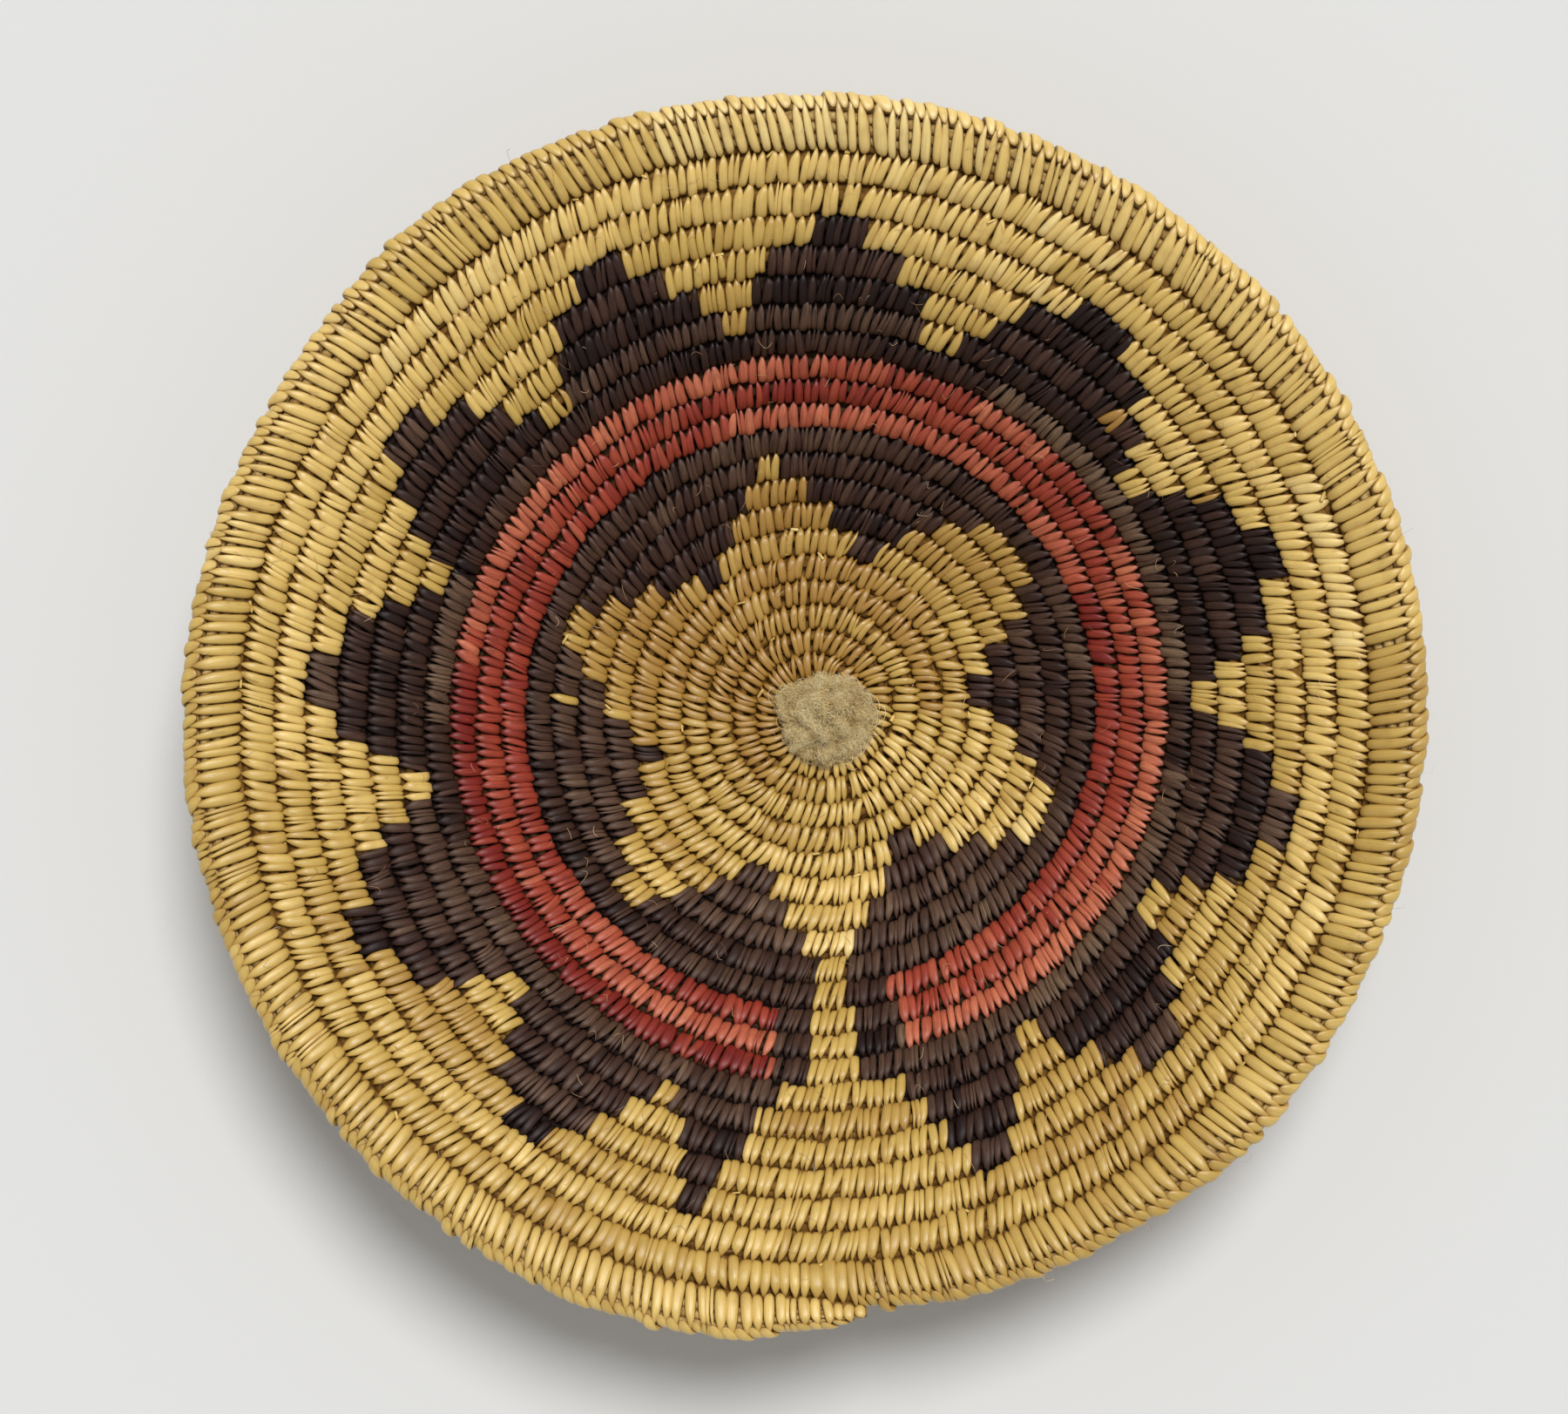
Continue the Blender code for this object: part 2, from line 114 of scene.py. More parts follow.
INNER_STEPS = (
    (-56.7, (25.2, 18.5, 12.3, 4.7), (0.52, 0.6, 0.5, 0.42)),
    (7.4, (24.8, 18.0, 12.9, 6.3), (0.36, 0.52, 0.25, 0.35)),
    (74.5, (25.0, 18.4, 11.6, 4.8), (0.42, 0.35, 0.1, 0.3)),
    (129.6, (26.0, 21.2, 13.4, 4.0), (0.45, 0.36, 0.28, 0.14)),
    (193.4, (27.5, 20.4, 11.6, 3.8), (0.56, 0.54, 0.5, 0.3)),
    (249.0, (20.6, 16.6, 11.0, 5.4), (0.34, 0.6, 0.64, 0.5)),
)
INNER_DARK_ROUND = 12
NATURAL, DARK, RED = "natural_splint", "dark_splint", "red_splint"
PATHWAY = ("pathway_wrapping", NATURAL)
# Fields of the rounds that have no steps, but for the base, as (direction where it starts, node, look)
ROUND_FIELDS = {
    1: [(SEAM, "rim_wrapping", NATURAL), (TIP_START, "rim_end_tip", NATURAL)],
    2: [(SEAM, "rim_seat_round", NATURAL)],
    3: [(SEAM, "upper_round", NATURAL)],
    8: [
        (SEAM, *PATHWAY),
        (PATHWAY_CLOSES, "outer_dark_round", DARK),
        (OUTER_DARK_END, "outer_gap_12", NATURAL),
    ],
    12: [(SEAM, *PATHWAY), (PATHWAY_CLOSES, "inner_dark_round", DARK), (PATHWAY_OPENS, *PATHWAY)],
}
for red_round, place_name in ((9, "outer"), (10, "middle"), (11, "inner")):
    ROUND_FIELDS[red_round] = [
        (SEAM, *PATHWAY),
        (PATHWAY_CLOSES, "pathway_border_right", DARK),
        (BORDER_END, f"red_round_{place_name}", RED),
        (RED_END, "pathway_border_left", DARK),
        (PATHWAY_OPENS, *PATHWAY),
    ]
# Tones along the closed rounds, as (direction where it starts, tone)
RING_TONES = {
    8: (
        (-90, 0.55), (-62, 0.7), (-52, 0.9), (-28, 0.75), (-8, 0.35), (4, 0.92), (12, 0.66), (33, 0.94),
        (61, 0.25), (80, 0.36), (100, 0.1), (120, 0.3), (134, 0.56), (150, 0.18), (158, 0.76), (182, 0.2),
        (192, 0.3), (200, 0.6), (242, 0.72), (250, 0.52),
    ),
    9: (
        (-90, 0.06), (-75, 0.8), (-60, 0.88), (0, 0.74), (30, 0.35), (48, 0.8), (62, 0.42), (78, 0.62),
        (95, 0.8), (108, 0.66), (125, 0.84), (150, 0.7), (172, 0.04), (262.5, 0.42),
    ),
    10: (
        (-90, 0.42), (-75, 0.52), (-40, 0.62), (-20, 0.46), (60, 0.54), (78, 0.36), (88, 0.1), (100, 0.36),
        (115, 0.5), (150, 0.4), (190, 0.48), (228, 0.72), (262.5, 0.35),
    ),
    11: (
        (-90, 0.36), (-75, 0.56), (-50, 0.4), (-25, 0.26), (10, 0.1), (25, 0.68), (50, 0.74), (110, 0.4),
        (150, 0.36), (215, 0.66), (240, 0.34), (262.5, 0.52),
    ),
    12: (
        (-90, 0.5), (-60, 0.7), (-40, 0.58), (-20, 0.4), (8, 0.6), (30, 0.36), (60, 0.52), (125, 0.42),
        (190, 0.22), (230, 0.5),
    ),
}
# How much one stitch differs from the next, where it is natural and where it is dyed
TONE_SPREAD = 0.06
DYED_SPREAD = 0.11
# Both bands: steps, their rounds, names of their gaps and steps, and digits in the names
BANDS = (
    (OUTER_STEPS, (4, 5, 6, 7), "outer_gap", "outer_step", 2),
    (INNER_STEPS, (13, 14, 15, 16), "star_gap", "inner_step", 1),
)
# Places where a few natural stitches show inside the dark sewing, as (round, direction, reach in degrees)
NATURAL_BITS = ((13, 176.5, 1.8), (6, 44.5, 0.7), (7, 128.0, 0.7))
NATURAL_BIT_TONE = 0.05
# Tone of the natural splints at turns from the start, their tone on the rim, and how much splints differ
NATURAL_TONES = ((0, 0.06), (22, 0.72))
RIM_TONE = 0.54
NATURAL_SPREAD = 0.2
# What the natural tone gains by direction: inside the star, outside the pattern, and on the rim
STAR_TONES = (
    (-90, 0.36), (-30, 0.46), (0, 0.14), (45, -0.06), (90, -0.14), (135, -0.22), (157, -0.38), (180, -0.18),
    (225, 0.04), (270, 0.36),
)
FIELD_TONES = (
    (-90, -0.1), (-74, -0.13), (-45, -0.42), (-20, -0.12), (0, -0.05), (45, 0.04), (90, -0.12),
    (106, -0.16), (135, 0.0), (180, 0.02), (213, -0.34), (240, -0.28), (270, -0.14),
)
RIM_TONES = (
    (-90, -0.1), (0, -0.08), (60, 0.06), (90, 0.2), (120, 0.12), (180, -0.04), (228, -0.18), (270, -0.1),
)

# The sewing. Distance from stitch to stitch, at turns from the start
PITCHES = (
    (0.0, 0.0019), (1.0, 0.002), (3.0, 0.0022), (6.0, 0.00245), (10.0, 0.0025), (14.0, 0.0024),
    (17.0, 0.0024), (19.0, 0.0025), (20.9, 0.00265), (21.0, 0.0031), (22.1, 0.0031),
)
# How much of that distance a stitch fills: the first rounds are sewn with slim splints that leave gaps
FILLS = (
    (0.0, 0.76), (3.0, 0.84), (6.5, 0.96), (9.0, 1.02), (20.9, 1.02), (21.0, 1.1), (21.3, 1.06),
    (21.46, 0.91), (21.6, 0.96), (21.8, 1.06), (22.1, 1.1),
)
FILL_SPREAD = 0.07
# Painted shade toward the edges of a splint, where it turns down, as (place across, depth of painted shade)
EDGE_SHADE = ((0.36, 0.0), (0.8, 0.14), (1.0, 0.6))
# How far a stitch leans, as its slope against the straight way across, at turns from the start
LEANS = (
    (0.0, 0.1), (2.0, 0.26), (9.0, 0.3), (12.0, 0.2), (16.0, 0.2), (19.0, 0.24), (20.9, 0.24),
    (21.02, -0.14), (22.1, -0.14),
)
# How much pitch and lean differ by stitch, the lean's slow waves, and its shares in the rim and the base
PITCH_SPREAD = 0.12
LEAN_SPREAD = 0.07
LEAN_WAVE = 0.1
RIM_LEAN_SHARE = 0.45
BASE_LEAN_SHARE = 1.5
# How far a stitch is drawn to the gap between two of the round before, from how near, and the least pitch
GAP_PULL = 0.5
GAP_REACH = 0.0016
LEAST_PITCH = 0.0012
# Stitches split lengthwise: their share, where they split, how full the strands are, how far one falls short
SPLIT_SHARES = {NATURAL: 0.05, DARK: 0.1, RED: 0.06}
SPLIT_PLACES = (0.35, 0.65)
SPLIT_FILL = 1.04
SPLIT_SHORT = 0.0003
# How far a stitch reaches into the round before, and its bow, ends, lift and roll, as (usual, spread)
OVERLAP = 0.0011
SPREADS = {
    "bow": (0.0, 0.00026), "outer": (0.0, 0.00042), "inner": (0.0, 0.00042), "lift": (0.0, 0.00013),
    "roll": (0.1, 0.16),
}
# Crown of a stitch against its pitch, as (least, what its width adds), how much of it stays in the coil, how
# much deeper the middle of its back lies, and how far the lowest stay off the floor
CROWN_SHARE = (0.08, 0.12)
CROWN_INSIDE = 0.4
SPLINT_UNDER = 0.00035
GROUND_CLEARANCE = 0.00002
SEED = 22
# Stitches that one splint makes before the next one starts
SPLINT_RUN = (20, 34)
# Grain for each radian along a splint, each metre across it and each stitch
GRAIN_STEPS = (4.0, 500.0, 1.7)

# Round a stitch, from its outer end over the bowl's inner face: angle, share of its width, and painted shade
OVER_STATIONS = (
    (0, 0.44, 1.0), (11, 0.1, 0.95), (20, 0.2, 0.74), (30, 0.35, 0.54), (40, 0.52, 0.38), (51, 0.7, 0.24),
    (64, 0.88, 0.12), (82, 1.02, 0.03), (102, 1.06, 0.0), (120, 1.06, 0.03), (136, 1.05, 0.11),
    (148, 1.02, 0.22), (158, 0.96, 0.38), (167, 0.86, 0.64), (180, 0.72, 1.0),
)
# The same under the basket, from its inner end back to the outer one
UNDER_STATIONS = (
    (196, 1.06, 0.7), (214, 1.12, 0.2), (240, 1.08, 0.0), (268, 1.06, 0.0), (294, 1.06, 0.0),
    (318, 1.12, 0.2), (336, 1.12, 0.6), (350, 1.06, 0.9),
)
# A rim stitch is full over its inner part and comes to a point where it passes between the edge stitches
RIM_STATIONS = (
    (0, 0.3, 1.0), (20, 0.22, 0.7), (34, 0.33, 0.45), (46, 0.49, 0.29), (57, 0.62, 0.17), (68, 0.74, 0.08),
    (80, 0.83, 0.02), (92, 0.9, 0.0), (106, 0.95, 0.0), (120, 0.97, 0.02), (134, 0.95, 0.07),
    (147, 0.88, 0.19), (158, 0.74, 0.4), (168, 0.55, 0.7), (180, 0.6, 1.0), (196, 1.06, 0.6),
    (218, 1.12, 0.1), (245, 1.04, 0.0), (270, 1.0, 0.0), (292, 0.86, 0.08), (312, 0.6, 0.4),
    (336, 0.36, 0.9),
)
# An edge stitch of the rim, from its end on the inner face to the edge, and mirrored to its end below
EDGE_HALF = (
    (56, 0.24, 0.8), (52, 0.54, 0.42), (45, 0.78, 0.16), (37, 0.93, 0.03), (27, 1.03, 0.0), (16, 1.08, 0.0),
    (5, 1.1, 0.0),
)
EDGE_STATIONS = EDGE_HALF + tuple((-angle, share, depth) for angle, share, depth in reversed(EDGE_HALF))
# Turns where they start and end, and how they lean, shift, lift, crown and roll against the rim's stitches
EDGE_START = 21.014
EDGE_END = 22.011
EDGE_LEAN = 1.0
EDGE_SHIFT = 0.15
EDGE_LIFT = 0.00024
EDGE_CROWN = 0.75
EDGE_ROLL = 0.12
# How far the rim's stitches and its edge stitches stay inside the coil's outer side
RIM_INSET = 0.0012
EDGE_INSET = 0.0008
# Across a splint, from edge to edge and back below: place across, and height in crowns
SECTION = ((-1.0, -0.5), (-0.8, 0.45), (-0.36, 0.93), (0.36, 0.93), (0.8, 0.45), (1.0, -0.5), (0.0, -1.0))
# How full the sewing's outer and inner sides are, where 1 is an ellipse and less is fuller
OUTER_FULLNESS = 0.95
INNER_FULLNESS = 0.58

# The rods under the sewing: where each lies in the coil's section, as shares of the room to each side
COIL_RODS = ((-0.5, -1.0), (0.5, -1.0), (0.0, 1.0))
RIM_ROD_HALF = ((-0.74, 0.3), (-0.26, 0.9), (0.24, 0.9), (0.7, 0.2))
RIM_RODS = RIM_ROD_HALF + tuple((out, -side) for out, side in RIM_ROD_HALF)
# Radius of a rod as a share of half of the room, the cover over the rods, and how far the rim's rods shift
COIL_ROD_SHARE = 0.52
RIM_ROD_SHARE = 0.25
ROD_COVER = 0.001
RIM_ROD_COVER = 0.0012
RIM_ROD_SHIFT = -0.0006
# How far a rod wanders and how much its radius swells, in waves to a turn
ROD_WANDER = 0.00012
ROD_WANDER_WAVES = (11.0, 29.0, 61.0)
ROD_SWELL = 0.05
ROD_SWELL_WAVES = (5.0, 13.0, 37.0)
ROD_STEP = 0.0035
# Turns by which the coil's rods run on into the rim
ROD_HANDOVER = 0.02
ROD_SIDES = 8
# Splints in the seam between two rounds, seen only as a strand deep between stitches, its dark a painted
# shade
SEAM_RUN_RADIUS = 0.0014
SEAM_RUN_RIM_SHARE = 1.1
SEAM_RUN_DROP = -0.0005
SEAM_RUN_STEP = 0.0016
# Share of its wood's own streaks, against the near-black painted shade, that a rod or seam takes under each
# look
SEAM_TONES = {NATURAL: 1.0, RED: 0.16, DARK: 0.0}

# The tuft
TUFT_MIDDLE = (0.0049, -0.003345)
TUFT_RADIUS = 0.0116
TUFT_SEAT = 0.0066
TUFT_HEIGHT = 0.0056
# Its layers: piece, number of fibres, their steps, and ranges of depth, length, curl, climb and radius
TUFT_LAYERS = (
    ("fibres", 3200, 11, (0.8, 0.98), (0.5, 1.5), (1.0, 7.0), (0.0, 0.03), (0.00004, 0.00008)),
    ("locks", 420, 24, (0.92, 1.01), (0.3, 0.75), (5.0, 15.0), (0.02, 0.12), (0.00004, 0.00007)),
    ("fuzz", 2900, 11, (0.94, 1.03), (0.12, 0.34), (3.0, 11.0), (0.02, 0.16), (0.000022, 0.000045)),
    ("down", 2900, 11, (0.93, 1.05), (0.1, 0.3), (2.0, 9.0), (0.02, 0.18), (0.00002, 0.00004)),
)
TUFT_LUMPS = ((2, 0.03, 0.9), (3, 0.04, 0.4), (7, 0.015, 0.7), (11, 0.012, 2.2))
# Tufts that reach out of the ball: direction, reach to either side, and extra share of the radius
TUFT_WINGS = ((150.0, 20.0, 0.24), (95.0, 14.0, 0.05))
# How much it leans to the sides, and how its outline and its top follow the depth of its fibres
TUFT_FLATNESS = 0.9
TUFT_OUTLINE_POWER = 0.8
TUFT_TOP_GAIN = 1.6
# How much the curl of a fibre changes along it, and the height and waves of its ripple
CURL_CHANGE = 0.5
RIPPLE = 0.02
RIPPLE_WAVES = 7.0
# Bumps of its top: their height, how much of it the outline loses, and two waves with a sway in each
TUFT_BUMP = 0.15
TUFT_BUMP_LOSS = 0.7
TUFT_BUMP_WAVES = ((8.0, 2.2, 5.0, 1.3), (7.0, 2.0, 4.0, 0.4))
# Tone of fibres at a middle depth, painted light and shade by depth and by bump, and how much fibres differ
TUFT_TONE = 0.5
TUFT_MIDDLE_DEPTH = 0.95
TUFT_DEPTH_SHADING = 3.0
TUFT_BUMP_SHADING = 0.46
TUFT_TONE_SPREAD = 0.26
# Loops that stray from it: their number, their steps, and the directions where they gather
LOOSE_LOOPS = 54
LOOP_STEPS = 26
LOOP_PLACES = (-35.0, -15.0, -50.0, -70.0, 10.0, 40.0, 165.0, 250.0)
LOOP_SPREAD = 22.0
# Ranges of their turn in half turns, size, start, rise and radius, how far they stray and lie up, and tones
LOOP_TURNS = (0.8, 2.0)
LOOP_SIZES = (0.001, 0.0032)
LOOP_STARTS = (0.86, 1.02)
LOOP_RISES = (0.0006, 0.0028)
LOOP_RADII = (0.00005, 0.00009)
LOOP_STRAY = 0.0012
LOOP_CLEARANCE = 0.0004
LOOP_TONES = (0.5, 1.0)

# Loose hairs of worn splints: number, share by look, turns where they lie, steps and measures
HAIRS = 900
HAIR_SHARES = {NATURAL: 1.0, RED: 0.35, DARK: 0.25}
HAIR_TURNS = (1.5, 21.9)
HAIR_STEPS = 9
HAIR_LENGTHS = (0.0006, 0.004)
HAIR_STARTS = (-1.2, 1.0)
HAIR_SLANT = 0.7
HAIR_BOW = 0.35
HAIR_EDGE = 1.3
HAIR_LIFT = 0.00035
HAIR_RISES = (0.0, 0.0009)
HAIR_RADII = (0.00003, 0.00007)
# Ends of splints that stick out between the rounds of the natural sewing, in the same way
SPLINT_ENDS = 60
END_TURNS = (1.5, 20.9)
END_STEPS = 6
END_SIDES = 5
END_LENGTHS = (0.0012, 0.003)
END_WAYS = (0.7, 0.3)
END_STARTS = (0.75, 1.0)
END_SLANT = 0.3
END_LIFT = -0.0002
END_RISES = (0.0004, 0.0011)
END_RADII = (0.00028, 0.0006)
END_TONE = (0.55, 0.2)
END_GRAIN = 900.0
# How far the sewing's top falls toward the edges of a round, and how steeply
SEWING_FALL = 0.62
SEWING_FALL_POWER = 2.4
# Share of a thin tube's radius at its pointed ends, the shares of a tube with blunt ends, and two tiny values
# for a tube that stands still or goes straight up
TUBE_POINT = 0.3
BLUNT = (1.0, 1.0)
STILL = 1e-12
UPRIGHT_SIDE = (1e-6, 3e-7, 0.0)

# Grain of a splint, stretched along it, and the levels of its noise that count
GRAIN_STRETCH = (0.22, 4.6, 1.0)
STREAKS = (0.3, 0.7)
# Painted shade where a splint dives, patches of soil, and how the streaks change its roughness
DEPTH_SHADE = 0.82
SOIL_PATCHES = (0.5, 0.8)
SOIL_SHADE = 0.35
ROUGHNESS_CHANGES = (-0.07, 0.12)
# Looks of the splints: colours at tones from 0 to 1, painted shade, roughness, gloss and how deep the grain
# is
LOOKS = {
    NATURAL: (
        (
            (0.0, (0.40, 0.215, 0.040)), (0.4, (0.60, 0.400, 0.092)), (0.75, (0.81, 0.565, 0.17)),
            (1.0, (0.93, 0.72, 0.30)),
        ),
        (0.30, 0.135, 0.020), 0.33, 0.7, 0.15,
    ),
    DARK: (
        (
            (0.0, (0.015, 0.006, 0.005)), (0.35, (0.054, 0.024, 0.016)), (0.65, (0.100, 0.053, 0.033)),
            (1.0, (0.175, 0.105, 0.062)),
        ),
        (0.004, 0.002, 0.002), 0.42, 0.26, 0.66,
    ),
    RED: (
        ((0.0, (0.20, 0.013, 0.009)), (0.5, (0.37, 0.052, 0.025)), (1.0, (0.64, 0.190, 0.095))),
        (0.050, 0.005, 0.003), 0.40, 0.5, 0.44,
    ),
}
# Painted shade for rods and seams under dyed sewing, seen only in the dark gaps between its stitches
SHADE_UNDER_DYED_SEWING = (0.01, 0.003, 0.002)

# The camera looks down, slightly from the right and the far side
VIEW_TARGET = (-0.0044, 0.00205, 0.0617)
VIEW_DIRECTION = (0.056, 0.038, 1.0)
VIEW_DISTANCE = 1.0
SENSOR = 36.0
LENS = 87.0

# A soft key from above and the far right, and an even fill
SUN_PLACE = (0.22, 0.55, 1.1)
SUN_STRENGTH = 2.42
SUN_ANGLE = 20.0
FILL_STRENGTH = 0.4
FLOOR_REACH = 30.0


def along(points, places):
    """Reads a list of (place, value) pairs, straight between its pairs."""
    return np.interp(places, [pair[0] for pair in points], [pair[1] for pair in points])


def direction_of(turns):
    """Direction in degrees of places on the coil, from the seam round to the seam."""
    return SEAM + 360.0 * (turns % 1.0)


def turn_of(round_number, direction):
    """Place on the coil of a direction in one round, where the seam starts the round."""
    return ROUNDS - round_number + (direction - SEAM) / 360.0


def coil_table():
    """Radius, height, slope, width and thickness of the coil, at even places along it."""
    turns = np.arange(0.0, COIL_END + TABLE_PAST, 1.0 / TABLE_STEPS)
    widths = along(WIDTHS, turns)
    for middle, reach, extra in SWELLS:
        swell = extra * np.exp(-(((direction_of(turns) - middle) / reach) ** 2))
        widths += swell * ((turns > RIM_TURN) & (turns < ROUNDS))
    steps = (widths[TABLE_STEPS:] + widths[:-TABLE_STEPS]) / 2 + ROUND_GAP
    distances = SPIRAL_START + steps[0] * turns
    for place in range(TABLE_STEPS, len(turns)):
        distances[place] = distances[place - TABLE_STEPS] + steps[place - TABLE_STEPS]
    marks = np.arange(0.0, SLOPES[-1][0] + PROFILE_STEP, PROFILE_STEP)
    slopes = np.radians(along(SLOPES, marks))
    middles = (slopes[1:] + slopes[:-1]) / 2
    radii, heights = (np.append(0.0, np.cumsum(part(middles) * PROFILE_STEP)) for part in (np.cos, np.sin))
    heights += along(THICKNESSES, BASE_ROUNDS) / 2
    rows = [np.interp(distances, marks, row) for row in (radii, heights, slopes)]
    return turns, *rows, widths, along(THICKNESSES, turns)


COIL = coil_table()


def coil_at(turns):
    """Radius, height, slope, width and thickness of the coil at places along it."""
    return [np.interp(turns, COIL[0], row) for row in COIL[1:]]


def length_at(turns):
    """Length of one round of the coil at places along it."""
    return 2 * math.pi * coil_at(turns)[0]


def even_turns(start, last, step):
    """Places along the coil from a start until they pass the last, a step in metres apart."""
    turns = [start]
    while turns[-1] < last:
        turns.append(turns[-1] + step / float(length_at(turns[-1])))
    return np.array(turns)


def scattered_turns(random, turns, count):
    """Random places between two turns, spread evenly over the basket's area."""
    return np.sqrt(random.uniform(turns[0] ** 2, turns[1] ** 2, count))


def wobble(turns, seed, waves=WAVES):
    """A slow random wave along the coil, from about -1 to 1."""
    phases = np.random.default_rng(seed).uniform(0.0, 2 * math.pi, len(waves))
    total = sum(np.sin(2 * math.pi * turns * wave + phase) for wave, phase in zip(waves, phases))
    return total / len(waves) * WAVE_GAIN


def place_points(turns, outward, upward):
    """Points beside the coil's middle: outward along the wall's slope and upward across it."""
    radius, height, slope = coil_at(turns)[:3]
    upward = upward + WALL_WAVE * wobble(turns, WALL_SEED)
    heading = np.radians(SEAM + 360.0 * turns)
    out = radius + outward * np.cos(slope) - upward * np.sin(slope)
    up = np.maximum(height + outward * np.sin(slope) + upward * np.cos(slope), GROUND_CLEARANCE)
    return np.stack((COIL_AXIS[0] + out * np.cos(heading), COIL_AXIS[1] + out * np.sin(heading), up), axis=-1)


def step_spans(steps, rounds, round_number):
    """Arcs that the steps of one band take in one round, as (start, end, tone)."""
    at = rounds.index(round_number)
    return [(row[0] - row[1][at], row[0] + row[1][at], row[2][at]) for row in steps]


def round_pieces(number):
    """Fields of one round from the seam round to the seam, as (start, node, look)."""
    for steps, rounds, gap_name, step_name, digits in BANDS:
        if number in rounds:
            pieces = [(SEAM, f"{gap_name}_{len(steps):0{digits}d}", NATURAL)]
            for count, (start, end, _) in enumerate(step_spans(steps, rounds, number), 1):
                pieces.append((start, f"{step_name}_{count:0{digits}d}", DARK))
                if end < SEAM + 360.0:
                    pieces.append((end, f"{gap_name}_{count:0{digits}d}", NATURAL))
            if number == INNER_DARK_ROUND + 1:
                pieces[-1] = (pieces[-1][0], *PATHWAY)
            return pieces
    if number > ROUNDS - BASE_ROUNDS:
        part = "inner" if number > ROUNDS - BASE_ROUNDS // 2 else "outer"
        return [(SEAM, f"base_wrapping_{part}", NATURAL)]
    return ROUND_FIELDS[number]


def fields():
    """Every field along the coil as start in turns, node and look."""
    rows = []
    for number in range(ROUNDS, 0, -1):
        rows += [(turn_of(number, start), node, look) for start, node, look in round_pieces(number)]
    return rows


FIELDS = fields()


def field_of(turns):
    """Number of the field that holds each place along the coil."""
    return np.maximum(np.searchsorted([start for start, _, _ in FIELDS], turns, side="right") - 1, 0)


def by_look(turns, levels):
    """The level that a table gives the look of the sewing at each place along the coil."""
    return np.array([levels[look] for _, _, look in FIELDS])[field_of(turns)]


def sew():
    """Places and leans of the stitches. Each is drawn to go in between two of the round before."""
    random = np.random.default_rng(SEED)
    last = COIL_END - SEWING_SHORT
    places, leans = [], []
    free = START_TURN
    while free < last:
        spread = LEAN_WAVE * float(wobble(free, LEAN_SEED)) + random.normal(0.0, LEAN_SPREAD)
        if free > RIM_TURN:
            spread *= RIM_LEAN_SHARE
        elif free < BASE_ROUNDS:
            spread *= BASE_LEAN_SHARE
        lean = (float(along(LEANS, free)) + spread) * float(coil_at(free)[3])
        place = free
        round_length = float(length_at(free))
        if free > 1.0 + START_TURN * 2:
            inner = np.searchsorted(places, free - 1.0)
            if 0 < inner < len(places):
                ahead = (lean + leans[inner]) / 2 / round_length
                around = range(max(inner - 1, 1), inner + 2)
                gaps = [(places[n - 1] + places[n]) / 2 + 1.0 - ahead for n in around]
                nearest = min(gaps, key=lambda gap: abs(gap - free))
                place += GAP_PULL * (nearest - free) * (abs(nearest - free) * round_length < GAP_REACH)
        if places:
            place = max(place, places[-1] + LEAST_PITCH / round_length)
        places.append(place)
        leans.append(lean)
        pitch = float(along(PITCHES, free)) * (1.0 + random.normal(0.0, PITCH_SPREAD))
        free += pitch / round_length
    return np.array(places), np.array(leans)


def base_tone(round_number, direction):
    """Tone that the pattern gives a place, or None where a natural splint may lie."""
    if any(round_number == bit and abs(direction - middle) < reach for bit, middle, reach in NATURAL_BITS):
        return NATURAL_BIT_TONE
    for steps, rounds, *_ in BANDS:
        if round_number in rounds:
            for start, end, tone in step_spans(steps, rounds, round_number):
                if start <= direction < end:
                    return tone
    if round_number in RING_TONES and PATHWAY_CLOSES < direction < PATHWAY_OPENS:
        return [tone for start, tone in RING_TONES[round_number] if start <= direction][-1]
    return None


def splint_tones(places, seed):
    """Tone of each stitch from 0 to 1: the stitches of one splint are alike, and the next splint differs."""
    random = np.random.default_rng(seed)
    runs = []
    while len(runs) < len(places):
        run = int(random.integers(*SPLINT_RUN))
        runs += [random.uniform(-1.0, 1.0)] * run
    tones = []
    for place, run in zip(places, runs):
        pattern = base_tone(ROUNDS - int(place), float(direction_of(place)))
        if pattern is None:
            base, gains = along(NATURAL_TONES, place), FIELD_TONES
            if place > RIM_TURN:
                base, gains = RIM_TONE, RIM_TONES
            elif place < ROUNDS - INNER_DARK_ROUND:
                gains = STAR_TONES
            base = base + NATURAL_SPREAD * run + along(gains, direction_of(place))
            tones.append(base + random.normal(0.0, TONE_SPREAD))
        else:
            tones.append(pattern + random.normal(0.0, DYED_SPREAD))
    return np.clip(np.array(tones), 0.0, 1.0)


def chosen(stitches, mask):
    """The stitches that a mask picks."""
    return {key: value[mask] for key, value in stitches.items()}


def split_some(stitches, random):
    """Splits a few stitches lengthwise into two strands, as worn splints do."""
    split = random.uniform(0, 1, len(stitches["place"])) < by_look(stitches["place"], SPLIT_SHARES)
    cut = random.uniform(*SPLIT_PLACES, split.sum())
    kept, near, far = (chosen(stitches, mask) for mask in (~split, split, split))
    before, after = near["before"], near["after"]
    whole = before + after
    near["place"] = near["place"] - before + whole * cut / 2
    far["place"] = far["place"] + after - whole * (1 - cut) / 2
    near["before"] = near["after"] = whole * cut / 2 * SPLIT_FILL
    far["before"] = far["after"] = whole * (1 - cut) / 2 * SPLIT_FILL
    near["outer"] = near["outer"] - SPLIT_SHORT
    return {key: np.concatenate((kept[key], near[key], far[key])) for key in stitches}


